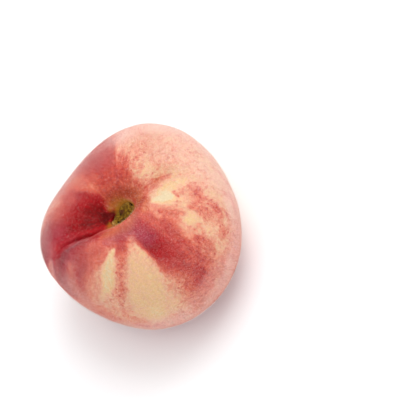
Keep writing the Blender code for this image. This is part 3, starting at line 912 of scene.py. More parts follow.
@dataclass(frozen=True)
class PeachSkinFinish:
    """Peach skin: a thin, matte cuticle over pigment, under a coat of down that gives it a soft sheen.

    Streaks and lines are measured round the belly, where a unit of the attribute that they read is a radian.
    """

    blush_stops: tuple[tuple[float, str], ...] = (
        (0.00, "#D2C09A"),
        (0.12, "#D9B281"),
        (0.26, "#D8A887"),
        (0.40, "#D3856B"),
        (0.54, "#C45845"),
        (0.68, "#AC3834"),
        (0.84, "#990A13"),
        (0.93, "#7A0407"),
        # The last stop, near black-red, also gives the painted shade in the fold beside the scar and along
        # the suture
        (1.00, "#5C0001"),
    )
    # Chalk and violet are the down's pale and mauve bloom. Strokes that lay them at the fruit's edge in view
    # make them partly painted sheen
    chalk: str = "#DDB8B0"
    violet: str = "#93485F"
    olive: str = "#A06C1C"
    clouds: Patches = Patches(6.0, (0.30, 0.70), (0.0, 1.0))
    mottles: Patches = Patches(2.2, (0.34, 0.66), (-0.07, 0.07))
    flecks: Patches = Patches(0.9, (0.42, 0.66), (-0.036, 0.12))
    grain: Patches = Patches(1.1, (0.36, 0.64), (-0.035, 0.035))
    shades: Patches = Patches(0.75, (0.36, 0.64), (-0.10, 0.10))
    bloom: Patches = Patches(0.9, (0.45, 0.75), (0.0, 0.34))
    veil: Patches = Patches(3.2, (0.30, 0.70), (0.3, 1.0))
    streaks: Patches = Patches(3.285, (0.25, 0.75), (-0.04, 0.04))
    lines: Patches = Patches(1.095, (0.32, 0.68), (-0.10, 0.10))
    line_stretch: float = 0.25
    radian: float = FruitForm.mean_radius
    cloud_depth: float = 0.04
    cloud_chalk: float = 0.30
    freckle_mm: float = 1.4
    freckle_share: float = 0.44
    freckle_edges: tuple = (-0.04, 0.08)
    freckle_depth: float = 0.30
    spot_room: float = 4.6
    calm_from: float = 1.25
    bare_from: float = 1.10
    shade_least: float = 0.5
    shade_gain: float = 1.4
    shade_power: float = 2.0
    roughness: float = 0.62
    specular: float = 0.12
    sheen: float = 0.03
    sheen_roughness: float = 0.3
    sheen_tint: str = "#FFE9E4"
    # Real pores lie about 0.3 mm apart. They are drawn coarser, so that they show in the render.
    pore_mm: float = 0.7
    pore_detail: float = 2.0
    pore_strength: float = 0.15
    pore_depth: float = 0.00012

    def ripeness(self, tree: Tree, place: Socket, lie: Socket, cloud: Socket, painted: dict) -> Socket:
        """Adds the level of the blush: the painted one, broken up by flecks, freckles, streaks and grain.

        Args:
            tree: The material's tree.
            place: The socket of the place in the object.
            lie: The socket of where a point lies on the fruit.
            cloud: The socket of the clouds.
            painted: The socket of each pigment's painted level.

        Returns:
            The socket of the level.
        """
        red = painted[BLUSH]
        reading = {"Vector": place, "Scale": per_mm(self.freckle_mm)}
        cells = add_node(tree, "ShaderNodeTexVoronoi", {}, reading)
        radius = add_node(tree, MATH, MULTIPLY, {0: cells.outputs["Color"], 1: self.freckle_share}).outputs[0]
        inside = add_node(tree, MATH, SUBTRACT, {0: radius, 1: cells.outputs["Distance"]}).outputs[0]
        low, high = self.freckle_edges
        bounds = {"From Min": low, "From Max": high, "To Min": 0.0, "To Max": self.freckle_depth}
        freckles = add_node(tree, RANGE, SMOOTH, {"Value": inside, **bounds}).outputs[0]
        spots = self.flecks.lay(tree, place)
        for part in (self.mottles.lay(tree, place), freckles):
            spots = add_node(tree, MATH, ADD, {0: spots, 1: part}).outputs[0]

        # Spots show most where the blush is about a third and vanish in pure cream and pure maroon
        rest = add_node(tree, MATH, SUBTRACT, {0: 1.0, 1: red}).outputs[0]
        room = rest
        for share in (rest, red, self.spot_room, painted[MOTTLE]):
            room = add_node(tree, MATH, MULTIPLY, {0: room, 1: share}).outputs[0]
        level = add_node(tree, MATH, MULTIPLY_ADD, {0: spots, 1: room, 2: red}).outputs[0]

        spread = {0: cloud, 1: -2.0 * self.cloud_depth, 2: self.cloud_depth}
        clouds = add_node(tree, MATH, MULTIPLY_ADD, spread).outputs[0]
        drift = self.streaks.lay(tree, lie, self.radian)
        for part in (clouds, self.grain.lay(tree, place)):
            drift = add_node(tree, MATH, ADD, {0: drift, 1: part}).outputs[0]
        calm = add_node(tree, MATH, SUBTRACT, {0: self.calm_from, 1: red}).outputs[0]
        return add_node(tree, MATH, MULTIPLY_ADD, {0: drift, 1: calm, 2: level}).outputs[0]

    def blush_colour(self, tree: Tree, level: Socket) -> Socket:
        """Adds the ramp from cream through coral and crimson to maroon.

        Args:
            tree: The material's tree.
            level: The socket of the level of the blush.

        Returns:
            The socket of the colour.
        """
        ramp = add_node(tree, "ShaderNodeValToRGB", {}, {"Fac": level})
        stops = ramp.color_ramp.elements
        while len(stops) < len(self.blush_stops):
            stops.new(0.5)
        for stop, (position, colour) in zip(stops, self.blush_stops):
            stop.position = position
            stop.color = linear(colour)
        return ramp.outputs["Color"]

    def chalkiness(self, tree: Tree, place: Socket, cloud: Socket, painted: dict) -> Socket:
        """Adds the level of the chalky bloom: the painted one in clouds, and fine dots on the paler skin.

        Args:
            tree: The material's tree.
            place: The socket of the place in the object.
            cloud: The socket of the clouds.
            painted: The socket of each pigment's painted level.

        Returns:
            The socket of the level.
        """
        spread = {0: cloud, 1: self.cloud_chalk, 2: 1.0 - self.cloud_chalk}
        share = add_node(tree, MATH, MULTIPLY_ADD, spread).outputs[0]
        bare = add_node(tree, MATH, SUBTRACT, {0: self.bare_from, 1: painted[BLUSH]}).outputs[0]
        dots = self.bloom.lay(tree, place)
        for part in (self.veil.lay(tree, place), bare):
            dots = add_node(tree, MATH, MULTIPLY, {0: dots, 1: part}).outputs[0]
        return add_node(tree, MATH, MULTIPLY_ADD, {0: painted[CHALK], 1: share, 2: dots}).outputs[0]

    def shading(self, tree: Tree, place: Socket, lie: Socket, red: Socket) -> Socket:
        """Adds how light each point is: fine shades and lines along the fruit, stronger the redder it is.

        Args:
            tree: The material's tree.
            place: The socket of the place in the object.
            lie: The socket of where a point lies on the fruit.
            red: The socket of the painted blush.

        Returns:
            The socket of a factor of about 1.
        """
        dark = add_node(tree, MATH, {"operation": "POWER"}, {0: red, 1: self.shade_power}).outputs[0]
        gain = {0: dark, 1: self.shade_gain, 2: self.shade_least}
        weight = add_node(tree, MATH, MULTIPLY_ADD, gain).outputs[0]
        shade = self.shades.lay(tree, place)
        shade = add_node(tree, MATH, MULTIPLY_ADD, {0: shade, 1: weight, 2: 1.0}).outputs[0]
        stretch = {0: lie, 1: (1.0, 1.0, self.line_stretch)}
        drawn = add_node(tree, "ShaderNodeVectorMath", MULTIPLY, stretch).outputs[0]
        line = self.lines.lay(tree, drawn, self.radian)
        return add_node(tree, MATH, MULTIPLY_ADD, {0: line, 1: red, 2: shade}).outputs[0]

    def material(self) -> bpy.types.Material:
        """Makes the material, which reads Object coordinates and the painted attributes.

        Returns:
            The material.
        """
        # Downy skin: matte, with hardly a highlight and a faint pale sheen towards the edge
        material, shader = new_material(
            "downy_peach_skin",
            {
                "Roughness": self.roughness,
                "Specular IOR Level": self.specular,
                "Sheen Weight": self.sheen,
                "Sheen Roughness": self.sheen_roughness,
                "Sheen Tint": linear(self.sheen_tint),
            },
        )
        tree = material.node_tree
        place = add_node(tree, "ShaderNodeTexCoord").outputs["Object"]
        lie = add_node(tree, ATTRIBUTE, {"attribute_name": "lie"}).outputs["Vector"]
        painted = {
            pigment: add_node(tree, ATTRIBUTE, {"attribute_name": pigment.value}).outputs["Fac"]
            for pigment in Pigment
        }
        cloud = self.clouds.lay(tree, place)
        colour = self.blush_colour(tree, self.ripeness(tree, place, lie, cloud, painted))
        chalk = self.chalkiness(tree, place, cloud, painted)
        covers = ((chalk, self.chalk), (painted[VIOLET], self.violet), (painted[OLIVE], self.olive))
        for share, hue in covers:
            colour = add_node(tree, MIX, COLOURS, {0: share, 6: colour, 7: linear(hue)}).outputs[2]
        shade = self.shading(tree, place, lie, painted[BLUSH])
        colour = add_node(tree, "ShaderNodeHueSaturation", {}, {"Color": colour, "Value": shade}).outputs[0]
        tree.links.new(colour, shader.inputs["Base Color"])

        reading = {"Vector": place, "Scale": per_mm(self.pore_mm), "Detail": self.pore_detail}
        pores = add_node(tree, NOISE, {}, reading).outputs["Fac"]
        relief = {"Height": pores, "Strength": self.pore_strength, "Distance": self.pore_depth}
        bump = add_node(tree, BUMP, {}, relief)
        tree.links.new(bump.outputs["Normal"], shader.inputs["Normal"])
        return material


@dataclass(frozen=True)
class DownBand:
    """A belt of the fruit whose down is one piece, between two tilts in degrees."""

    name: str
    start: float
    end: float


@dataclass
class Down:
    """The down: short pale hairs that stand all over the skin.

    The hairs are fewer and thicker than real ones, which stand too densely to be meshed one by one.
    """

    form: FruitForm
    bands: tuple[DownBand, ...] = (
        DownBand("down_crown", 0.0, 47.0),
        DownBand("down_shoulder", 47.0, 72.0),
        DownBand("down_flank", 72.0, 104.0),
        DownBand("down_base", 104.0, 180.0),
    )
    hairs: int = 46000
    length: float = 0.00055
    width: float = 0.000030
    rooted: float = 0.10
    lean: float = 0.32
    least_size: tuple = (0.8, 0.8, 0.55)
    greatest_size: tuple = (1.2, 1.2, 1.30)
    seed: int = 7
    seed_step: int = 10
    clear_height: float = 0.0010
    bare_reach: float = 0.0052
    bare_fade: float = 0.002
    sparse_reach: float = 0.0175
    sparse_start: float = 0.7
    sparse_share: float = 0.08
    valley_half: float = 0.0065
    valley_share: float = 0.05

    def hair(self) -> bpy.types.Object:
        """Makes one hair, a three-sided spike along +Z with its root a little under the skin.

        Returns:
            The hair's object.
        """
        spike = bmesh.new()
        bmesh.ops.create_cone(
            spike, cap_ends=True, segments=3, radius1=0.5 * self.width, radius2=0.0, depth=self.length
        )
        bmesh.ops.translate(spike, verts=spike.verts, vec=(0.0, 0.0, (0.5 - self.rooted) * self.length))
        hair = link("down_hair", mesh_from(spike, "down_hair"))
        hair.data.materials.append(DownFinish().material())
        return hair

    def laying(self, hair: bpy.types.Object, seed: int) -> Tree:
        """Makes the node group that stands hairs on a mesh by its density attribute.

        Args:
            hair: The hair to repeat.
            seed: Seed of the random draws.

        Returns:
            The geometry node group.
        """
        tree = bpy.data.node_groups.new("laying_of_down", "GeometryNodeTree")
        for side in ("INPUT", "OUTPUT"):
            tree.interface.new_socket("Geometry", in_out=side, socket_type="NodeSocketGeometry")
        skin = add_node(tree, "NodeGroupInput").outputs[0]
        density = add_node(
            tree, "GeometryNodeInputNamedAttribute", {"data_type": "FLOAT"}, {"Name": "density"}
        )
        spots = add_node(
            tree, "GeometryNodeDistributePointsOnFaces", {"distribute_method": "RANDOM"},
            {"Mesh": skin, "Density": density.outputs[0], "Seed": seed},
        )
        lean = add_node(
            tree, "FunctionNodeRandomValue", {"data_type": "FLOAT_VECTOR"},
            {0: (-self.lean, -self.lean, -math.pi), 1: (self.lean, self.lean, math.pi), "Seed": seed + 1},
        )
        turned = add_node(tree, "FunctionNodeEulerToRotation", {}, {0: lean.outputs[0]})
        stood = add_node(
            tree, "FunctionNodeRotateRotation", {"rotation_space": "LOCAL"},
            {0: spots.outputs["Rotation"], 1: turned.outputs[0]},
        )
        size = add_node(
            tree, "FunctionNodeRandomValue", {"data_type": "FLOAT_VECTOR"},
            {0: self.least_size, 1: self.greatest_size, "Seed": seed + 2},
        )
        shown = add_node(tree, "GeometryNodeObjectInfo", {}, {"Object": hair, "As Instance": True})
        laid = add_node(
            tree, "GeometryNodeInstanceOnPoints", {},
            {
                "Points": spots.outputs["Points"], "Instance": shown.outputs["Geometry"],
                "Rotation": stood.outputs[0], "Scale": size.outputs[0],
            },
        )
        real = add_node(tree, "GeometryNodeRealizeInstances", {}, {0: laid.outputs[0]})
        add_node(tree, "NodeGroupOutput", {}, {0: real.outputs[0]})
        return tree

    def density(self, skin: bpy.types.Mesh, band: DownBand, core: Vector) -> np.ndarray:
        """Hairs to the square metre at each vertex of the skin.

        Args:
            skin: The skin's mesh.
            band: The belt to cover.
            core: Foot of the core.

        Returns:
            One density for each vertex, which sums to the belt's hairs over its area.
        """
        spots = np.empty(len(skin.vertices) * 3, np.float32)
        skin.vertices.foreach_get("co", spots)
        spots = spots.reshape(-1, 3) - np.array((core.x, core.y, 0.0), np.float32)
        lie = np.empty(len(skin.vertices) * 3, np.float32)
        skin.attributes["lie"].data.foreach_get("vector", lie)
        tilt = np.degrees(lie.reshape(-1, 3)[:, 2] / LIE_SLANT)
        reach = self.form.reach_at_tilt(np.radians(tilt))
        share = ((tilt >= band.start) & (tilt < band.end)).astype(float)
        grown = ease(self.sparse_start * self.sparse_reach, self.sparse_reach, reach)
        hollow = self.sparse_share + (1.0 - self.sparse_share) * grown
        across = spots[:, 1] - self.form.suture_line(spots[:, 0])
        worn = (1.0 - self.valley_share) * bell(across, self.valley_half)
        valley = np.where(spots[:, 0] < 0.0, 1.0 - worn, 1.0)
        past_scar = ease(self.bare_reach, self.bare_reach + self.bare_fade, reach)
        share *= np.where(tilt < 90.0, hollow * valley * past_scar, 1.0)
        share *= np.where(tilt > 90.0, ease(self.clear_height, 2.0 * self.clear_height, spots[:, 2]), 1.0)
        sizes = np.empty(len(skin.polygons), np.float32)
        skin.polygons.foreach_get("area", sizes)
        starts = np.empty(len(skin.polygons), np.int32)
        skin.polygons.foreach_get("loop_start", starts)
        corners = np.empty(len(skin.loops), np.int32)
        skin.loops.foreach_get("vertex_index", corners)
        area = float(np.sum(sizes * share[corners[starts]]))
        return share * self.hairs / area

    def build(self, skin: bpy.types.Object, core: Vector) -> list[bpy.types.Object]:
        """Stands the hairs on the skin, one piece for each belt.

        Args:
            skin: The finished skin.
            core: Foot of the core.

        Returns:
            The pieces of down.
        """
        hair = self.hair()
        pieces = []
        for number, band in enumerate(self.bands):
            carrier = link("down_carrier", skin.data.copy())
            layer = carrier.data.attributes.new("density", "FLOAT", "POINT")
            layer.data.foreach_set("value", self.density(skin.data, band, core).astype(np.float32))
            laying = carrier.modifiers.new("down", "NODES")
            laying.node_group = self.laying(hair, self.seed + self.seed_step * number)
            seen = carrier.evaluated_get(bpy.context.evaluated_depsgraph_get())
            mesh = bpy.data.meshes.new_from_object(seen)
            mesh.name = band.name
            bpy.data.objects.remove(carrier)
            piece = link(band.name, mesh)
            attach(piece, BODY)
            pieces.append(piece)
        bpy.data.objects.remove(hair)
        return pieces


@dataclass(frozen=True)
class DownFinish:
    """Peach down: dry, hollow, nearly colourless hairs that scatter light and look white."""

    colour: str = "#FBE9E2"
    roughness: float = 0.55
    specular: float = 0.2

    def material(self) -> bpy.types.Material:
        """Makes the hairs' material, in one colour because each is far finer than any pattern.

        Returns:
            The material.
        """
        # Colourless hair: a faint white fuzz, seen where many hairs stand behind one another
        material, _ = new_material(
            "colourless_down",
            {
                "Base Color": linear(self.colour),
                "Roughness": self.roughness,
                "Specular IOR Level": self.specular,
            },
        )
        return material


@dataclass(frozen=True)
class TornTissue:
    """Dry tissue that tore open: ridges and crumbs, with the ends of fibres that stand out of it.

    A negative fibre_length makes the fibres hang down.
    """

    crumb_size: float
    fibre_length: float
    fibre_width: float
    ridge_drop: float = 3.0
    ridge_share: float = 0.6
    crumb_share: float = 0.7
    fine_size: float = 0.45
    fibre_lean: float = 0.5
    shortest_fibre: float = 0.5
    tip_share: float = 0.12
    middle_share: float = 0.35
    fibre_sides: int = 6

    def relief(self, place: np.ndarray) -> np.ndarray:
        """Relief of the tissue, between about -1 and 1.

        Args:
            place: Points in metres, one a row.

        Returns:
            One value for each point.
        """
        ridges = 1.0 - self.ridge_drop * np.abs(noise_at(place, self.crumb_size, Shift.TEARS))
        crumbs = noise_at(place, self.fine_size * self.crumb_size, Shift.CRUMBS)
        return self.ridge_share * ridges + self.crumb_share * crumbs

    def stand_fibres(self, shape: bmesh.types.BMesh, feet: np.ndarray, seed: int) -> None:
        """Stands torn fibre ends on a piece, each a short spike.

        Args:
            shape: The mesh that takes them.
            feet: Where they stand, in metres, one a row.
            seed: Seed of their leans and lengths.
        """
        draw = np.random.default_rng(seed)
        upturn = math.pi if self.fibre_length < 0.0 else 0.0
        for foot in feet:
            lean_x = draw.uniform(-self.fibre_lean, self.fibre_lean)
            lean_y = draw.uniform(-self.fibre_lean, self.fibre_lean)
            tall = draw.uniform(self.shortest_fibre, 1.0) * abs(self.fibre_length)
            turn = Matrix.Rotation(lean_x + upturn, 4, "X") @ Matrix.Rotation(lean_y, 4, "Y")
            raised = Matrix.Translation((0.0, 0.0, self.middle_share * tall))
            bmesh.ops.create_cone(
                shape, cap_ends=True, segments=self.fibre_sides, radius1=0.5 * self.fibre_width,
                radius2=self.tip_share * self.fibre_width, depth=tall,
                matrix=Matrix.Translation(Vector(foot)) @ turn @ raised,
            )


@dataclass
class StalkStump:
    """The dry stump of the stalk: a torn collar grown onto the skin, crumbly tissue and a brown core."""

    form: FruitForm
    lip: SocketLip
    middle: Vector
    half_x: float
    half_y: float
    top: float
    bottom: float
    tissue: TornTissue = TornTissue(crumb_size=0.0011, fibre_length=0.0009, fibre_width=0.00026)
    steps: int = 150
    rings: int = 44
    edge_lap: float = 0.00042
    edge_wander: float = 0.00022
    edge_wander_size: float = 0.30
    edge_start: float = 0.90
    edge_sink: float = 0.00035
    rim_rise: float = 0.0007
    rim_gap_drop: float = 0.6
    floor_drop: float = 0.00035
    collar_edges: tuple = (0.66, 0.92)
    collar_wander: float = 0.16
    collar_wander_size: float = 0.0012
    collar_calm: float = 0.45
    core_x: float = 0.0004
    core_y: float = 0.0009
    core_half: float = 0.0011
    core_edges: tuple = (0.75, 1.15)
    core_wander: float = 0.3
    core_rise: float = 0.00030
    crumb: float = 0.00027
    pit_shade_share: float = 0.9
    pit_shade_calm: float = 0.5
    tan_heading: float = -146.0
    tan_half: float = 55.0
    tan_least: float = 0.22
    waist: float = 0.64
    waist_drop: float = 0.0012
    least_share: float = 1e-4
    fibres: int = 14
    fibre_reach: tuple = (0.2, 1.25)
    foot_seed: int = 5
    lean_seed: int = 6

    def build(self) -> bpy.types.Object:
        """Makes the stump by spinning a plain half section, then shaping its top and tearing it.

        Returns:
            The stump's object, which stands for the CAD node.
        """
        shape = bmesh.new()
        profile = [(share, 0.0) for share in np.linspace(0.0, 1.0, self.rings)]
        profile += [(1.0, -1.0), (1.0, -2.0), (0.0, -2.0)]
        corners = [shape.verts.new((share, 0.0, row)) for share, row in profile]
        edges = [shape.edges.new(pair) for pair in zip(corners, corners[1:])]
        bmesh.ops.spin(
            shape, geom=corners + edges, axis=(0.0, 0.0, 1.0), cent=(0.0, 0.0, 0.0),
            angle=2.0 * math.pi, steps=self.steps, use_merge=True,
        )
        bmesh.ops.remove_doubles(shape, verts=shape.verts, dist=WELD)
        bmesh.ops.recalc_face_normals(shape, faces=shape.faces)
        unit = np.array([vertex.co for vertex in shape.verts])
        row = np.rint(unit[:, 2])
        place, marks = self.top_surface(np.hypot(unit[:, 0], unit[:, 1]), np.arctan2(unit[:, 1], unit[:, 0]))
        for level, height in ((-1, self.top - self.floor_drop - self.waist_drop), (-2, self.bottom)):
            below = row == level
            ring = np.stack([unit[:, 0] * self.half_x, unit[:, 1] * self.half_y], axis=-1) * self.waist
            place[below, :2] = ring[below]
            place[below, 2] = height
        settle(shape, [Vector(spot) + self.middle for spot in place], marks)
        self.add_fibres(shape)
        stump = link("stalk_stump", mesh_from(shape, "stalk_stump"))
        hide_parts("stalk_remnant")
        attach(stump, BODY)
        return stump

    def top_surface(self, share: np.ndarray, azimuth: np.ndarray) -> tuple[np.ndarray, dict[str, np.ndarray]]:
        """The torn top, out to where it meets the skin.

        Args:
            share: Shares of the way from the middle to the edge.
            azimuth: Angles in plan, in radians.

        Returns:
            Points over the middle of the stump, and how far each is collar, core and painted shade in the low
            spots of the torn relief.
        """
        around = np.stack([np.cos(azimuth), np.sin(azimuth), np.zeros(len(azimuth))], axis=-1)
        gap = self.lip.open_gap(azimuth)
        wander = self.edge_wander * noise_at(around, self.edge_wander_size, Shift.STUMP_EDGE)
        edge = self.lip.start(azimuth) + self.edge_lap - gap + wander
        tilt_at_reach = np.vectorize(self.form.tilt_at_reach)
        skin = self.form.surface(tilt_at_reach(edge), azimuth)
        place = self.form.surface(tilt_at_reach(np.maximum(share, self.least_share) * edge), azimuth)
        flat = place * np.array((1.0, 1.0, 0.0))
        rough = self.tissue.relief(flat)
        wander = self.collar_wander * noise_at(flat, self.collar_wander_size, Shift.COLLAR)
        collar = ease(*self.collar_edges, share + wander)
        away = np.hypot(place[:, 0] - self.core_x, place[:, 1] - self.core_y)
        core = 1.0 - ease(*self.core_edges, away / self.core_half + self.core_wander * rough)
        floor = self.top - self.floor_drop
        rim = np.minimum(skin[:, 2], self.top + self.rim_rise) - self.rim_gap_drop * gap
        sink = self.edge_sink * ease(self.edge_start, 1.0, share)
        height = floor + (rim - floor) * collar + self.core_rise * core - sink
        place[:, 2] = height + self.crumb * rough * (1.0 - self.collar_calm * collar)
        # Painted shade: the low spots of the torn relief turn near black, less so on the collar
        pit = ease(0.0, 1.0, -rough * self.pit_shade_share) * (1.0 - self.pit_shade_calm * collar)
        facing = bell(self.lip.turn_from(azimuth, self.tan_heading), self.tan_half)
        tan = self.tan_least + (1.0 - self.tan_least) * facing
        return place, {"collar": collar * tan, "core": core, "pit": pit}

    def add_fibres(self, shape: bmesh.types.BMesh) -> None:
        """Stands the torn ends of the stalk's fibres round the core.

        Args:
            shape: The stump's mesh.
        """
        draw = np.random.default_rng(self.foot_seed)
        turn = draw.uniform(0.0, 2.0 * math.pi, self.fibres)
        reach = self.core_half * draw.uniform(*self.fibre_reach, self.fibres)
        level = np.full(self.fibres, self.top - self.floor_drop)
        x, y = self.core_x + reach * np.cos(turn), self.core_y + reach * np.sin(turn)
        feet = np.stack([x, y, level], axis=-1)
        self.tissue.stand_fibres(shape, feet + np.array(self.middle), self.lean_seed)

    def dress(self, stump: bpy.types.Object) -> None:
        """Gives the stump its finish."""
        stump.data.materials.append(DryStalkFinish().material())


@dataclass
class BlossomScar:
    """The dry, corky button in the underside's dimple, where the flower was."""

    form: FruitForm
    core: Vector
    tissue: TornTissue = TornTissue(crumb_size=0.0010, fibre_length=-0.0013, fibre_width=0.00030)
    half: float = 0.0019
    rise: float = 0.0007
    columns: int = 48
    rows: int = 24
    crumb: float = 0.00016
    collar_edges: tuple = (0.55, 0.9)
    core_edges: tuple = (0.2, 0.5)
    fibres: int = 5
    fibre_spread: float = 0.3
    fibre_level: float = -0.8
    foot_seed: int = 8
    lean_seed: int = 9

    def build(self) -> bpy.types.Object:
        """Makes the button as a flattened ball with a torn surface.

        Returns:
            The scar's object.
        """
        shape = bmesh.new()
        bmesh.ops.create_uvsphere(shape, u_segments=self.columns, v_segments=self.rows, radius=1.0)
        unit = np.array([vertex.co for vertex in shape.verts])
        pole = self.form.surface(np.array([math.pi]), np.array([0.0]))[0]
        middle = np.array((self.core.x, self.core.y, pole[2]))
        place = unit * np.array((self.half, self.half, self.rise))
        rough = self.tissue.relief(place)
        place = place + unit * (self.crumb * rough)[:, None]
        reach = np.hypot(unit[:, 0], unit[:, 1])
        marks = {
            "collar": ease(*self.collar_edges, reach),
            "core": 1.0 - ease(*self.core_edges, reach),
            "pit": ease(0.0, 1.0, -rough),
        # Painted shade in the low spots of the torn relief
        }
        settle(shape, place + middle, marks)
        draw = np.random.default_rng(self.foot_seed)
        spread = self.fibre_spread * self.half
        feet = draw.uniform(-spread, spread, (self.fibres, 3))
        feet[:, 2] = self.fibre_level * self.rise
        self.tissue.stand_fibres(shape, feet + middle, self.lean_seed)
        scar = link("blossom_scar", mesh_from(shape, "blossom_scar"))
        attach(scar, BODY)
        return scar

    def dress(self, scar: bpy.types.Object) -> None:
        """Gives the scar its finish."""
        scar.data.materials.append(DryStalkFinish().material())


@dataclass(frozen=True)
class DryStalkFinish:
    """Dried stalk tissue: torn, corky and matte, olive where it is still fleshy and brown in the core."""

    olive: str = "#624208"
    lime: str = "#94741A"
    brown: str = "#5A3216"
    tan: str = "#BC9050"
    # Near black: painted shade in the low spots of the torn tissue
    pit: str = "#1E0E02"
    grain_mm: float = 0.7
    grain_detail: float = 4.0
    grain_roughness: float = 0.65
    lime_edges: tuple = (0.45, 0.68)
    tan_gain: float = 2.2
    tan_from: float = -0.35
    roughness: float = 0.9
    specular: float = 0.2
    bump_strength: float = 0.5
    bump_depth: float = 0.0002

    def material(self) -> bpy.types.Material:
        """Makes the material, which reads Object coordinates and the piece's own attributes.

        Returns:
            The material.
        """
        # Cork and dried flesh: hardly any shine, crumbs in olive and tan, and near-black painted shade in the
        # low spots between them
        material, shader = new_material(
            "dry_corky_stalk", {"Roughness": self.roughness, "Specular IOR Level": self.specular}
        )
        tree = material.node_tree
        place = add_node(tree, "ShaderNodeTexCoord").outputs["Object"]
        collar, core, pit = (
            add_node(tree, ATTRIBUTE, {"attribute_name": name}).outputs["Fac"]
            for name in ("collar", "core", "pit")
        )
        reading = {"Vector": place, "Scale": per_mm(self.grain_mm), "Detail": self.grain_detail}
        reading["Roughness"] = self.grain_roughness
        grain = add_node(tree, NOISE, {}, reading).outputs["Fac"]
        low, high = self.lime_edges
        fleshy = add_node(tree, RANGE, {}, {"Value": grain, "From Min": low, "From Max": high}).outputs[0]
        clamped = {**MULTIPLY_ADD, "use_clamp": True}
        corky = add_node(tree, MATH, clamped, {0: grain, 1: self.tan_gain, 2: self.tan_from}).outputs[0]
        corky = add_node(tree, MATH, MULTIPLY, {0: corky, 1: collar}).outputs[0]
        flesh = {0: fleshy, 6: linear(self.olive), 7: linear(self.lime)}
        colour = add_node(tree, MIX, COLOURS, flesh).outputs[2]
        for share, hue in ((corky, self.tan), (core, self.brown), (pit, self.pit)):
            colour = add_node(tree, MIX, COLOURS, {0: share, 6: colour, 7: linear(hue)}).outputs[2]
        tree.links.new(colour, shader.inputs["Base Color"])
        relief = {"Height": grain, "Strength": self.bump_strength, "Distance": self.bump_depth}
        bump = add_node(tree, BUMP, {}, relief)
        tree.links.new(bump.outputs["Normal"], shader.inputs["Normal"])
        return material


@dataclass(frozen=True)
class FloorFinish:
    """White laminate, pressed smooth with a faint satin face."""

    colour: str = "#F5F6F7"
    roughness: float = 0.5
    specular: float = 0.2

    def material(self) -> bpy.types.Material:
        """Makes the material, plain because the floor only sets the fruit off.

        Returns:
            The material.
        """
        # Laminate: even and nearly matte, so that only the fruit's soft shadow shows on it
        material, _ = new_material(
            "white_laminate",
            {
                "Base Color": linear(self.colour),
                "Roughness": self.roughness,
                "Specular IOR Level": self.specular,
            },
        )
        return material


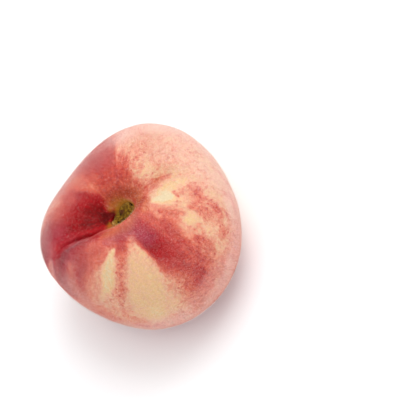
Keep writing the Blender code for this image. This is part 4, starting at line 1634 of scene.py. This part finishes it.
@dataclass
class Studio:
    """White floor, soft light and the camera.

    target_u and target_v are the pixel of the picture where the point that the camera is set by shows.
    """

    core: Vector
    aim_height: float = 0.022
    azimuth: float = -76.8
    elevation: float = 57.0
    roll: float = 50.0
    distance: float = 0.650
    pixels: int = 400
    pixels_per_metre: float = 2767.0
    target_u: float = 138.54
    target_v: float = 228.3
    sensor: float = 36.0
    near_clip: float = 0.01
    floor_half: float = 1.5
    floor_drop: float = 0.00005
    key_up: float = 0.9
    key_back: float = 0.7
    key_left: float = 0.1
    key_size: float = 0.60
    key_distance: float = 0.90
    key_power: float = 4.0
    fill_colour: str = "#FFFFFF"
    fill_strength: float = 1.04

    def target(self) -> Vector:
        """The point that the camera and the light are set by."""
        return Vector((self.core.x, self.core.y, self.aim_height))

    def axes(self) -> tuple[Vector, Vector, Vector]:
        """Works out how the picture lies in the world.

        Returns:
            The picture's right, its up and the way back to the camera, as world directions.
        """
        azimuth, elevation, roll = (math.radians(a) for a in (self.azimuth, self.elevation, self.roll))
        flat = Vector((math.cos(azimuth), math.sin(azimuth), 0.0))
        back = flat * math.cos(elevation) + Vector((0.0, 0.0, math.sin(elevation)))
        level = Vector((-math.sin(azimuth), math.cos(azimuth), 0.0))
        upright = back.cross(level)
        right = level * math.cos(roll) - upright * math.sin(roll)
        up = level * math.sin(roll) + upright * math.cos(roll)
        return right, up, back

    def camera(self) -> None:
        """Sets the camera so that the core stands where the picture has it."""
        right, up, back = self.axes()
        lens = bpy.data.cameras.new("camera")
        lens.sensor_width = self.sensor
        focal = self.pixels_per_metre * self.distance
        lens.lens = focal / self.pixels * self.sensor
        lens.clip_start = self.near_clip
        camera = bpy.data.objects.new("camera", lens)
        bpy.context.scene.collection.objects.link(camera)
        facing = Matrix((right, up, back)).transposed().to_quaternion()
        middle = 0.5 * self.pixels
        sight = Vector((self.target_u - middle, middle - self.target_v, -focal)).normalized()
        camera.rotation_mode = "QUATERNION"
        camera.rotation_quaternion = facing @ sight.rotation_difference(Vector((0.0, 0.0, -1.0)))
        camera.location = self.target() + back * self.distance
        bpy.context.scene.camera = camera

    def key_light(self) -> None:
        """Hangs a square soft light that faces the fruit from above it in the picture."""
        right, up, back = self.axes()
        heading = up * self.key_up + back * self.key_back - right * self.key_left
        lamp = bpy.data.lights.new("key_softbox", "AREA")
        lamp.size = self.key_size
        lamp.energy = self.key_power
        light = bpy.data.objects.new("key_softbox", lamp)
        bpy.context.scene.collection.objects.link(light)
        light.location = self.target() + heading.normalized() * self.key_distance
        light.rotation_mode = "QUATERNION"
        light.rotation_quaternion = heading.to_track_quat("Z", "Y")

    def fill_light(self) -> None:
        """Lights the fruit evenly from all round."""
        world = bpy.data.worlds.new("white_studio")
        world.use_nodes = True
        backdrop = world.node_tree.nodes["Background"]
        backdrop.inputs["Color"].default_value = linear(self.fill_colour)
        backdrop.inputs["Strength"].default_value = self.fill_strength
        bpy.context.scene.world = world

    def floor(self) -> None:
        """Lays the floor that the fruit stands on."""
        sheet = bmesh.new()
        bmesh.ops.create_grid(sheet, x_segments=1, y_segments=1, size=self.floor_half)
        bmesh.ops.translate(sheet, verts=sheet.verts, vec=(0.0, 0.0, -self.floor_drop))
        floor = link("floor", mesh_from(sheet, "floor"))
        floor.data.materials.append(FloorFinish().material())

    def build(self) -> None:
        """Sets up the floor, the camera, the lights and the view."""
        self.floor()
        self.camera()
        self.key_light()
        self.fill_light()
        bpy.context.scene.view_settings.view_transform = "Standard"


def main() -> None:
    """Builds the studio and every piece of the fruit."""
    logging.basicConfig(level=logging.INFO, format="%(name)s: %(message)s")
    low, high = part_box("stalk_remnant")
    middle = 0.5 * (low + high)
    half = 0.5 * (high - low)
    core = Vector((middle.x, middle.y, 0.0))
    Studio(core).build()
    LOG.info("studio set")

    form = FruitForm()
    lip = SocketLip()
    skin_maker = PeachSkin(form, lip, core)
    skin = skin_maker.build()
    skin_maker.dress(skin)
    pieces = [skin, *Down(form).build(skin, core)]

    stump = StalkStump(form, lip, middle=core, half_x=half.x, half_y=half.y, top=high.z, bottom=low.z)
    scar = BlossomScar(form, core)
    for maker in (stump, scar):
        piece = maker.build()
        maker.dress(piece)
        pieces.append(piece)
    for piece in pieces:
        LOG.info("%s: %d faces", piece.name, len(piece.data.polygons))


if __name__ == "__main__":
    main()
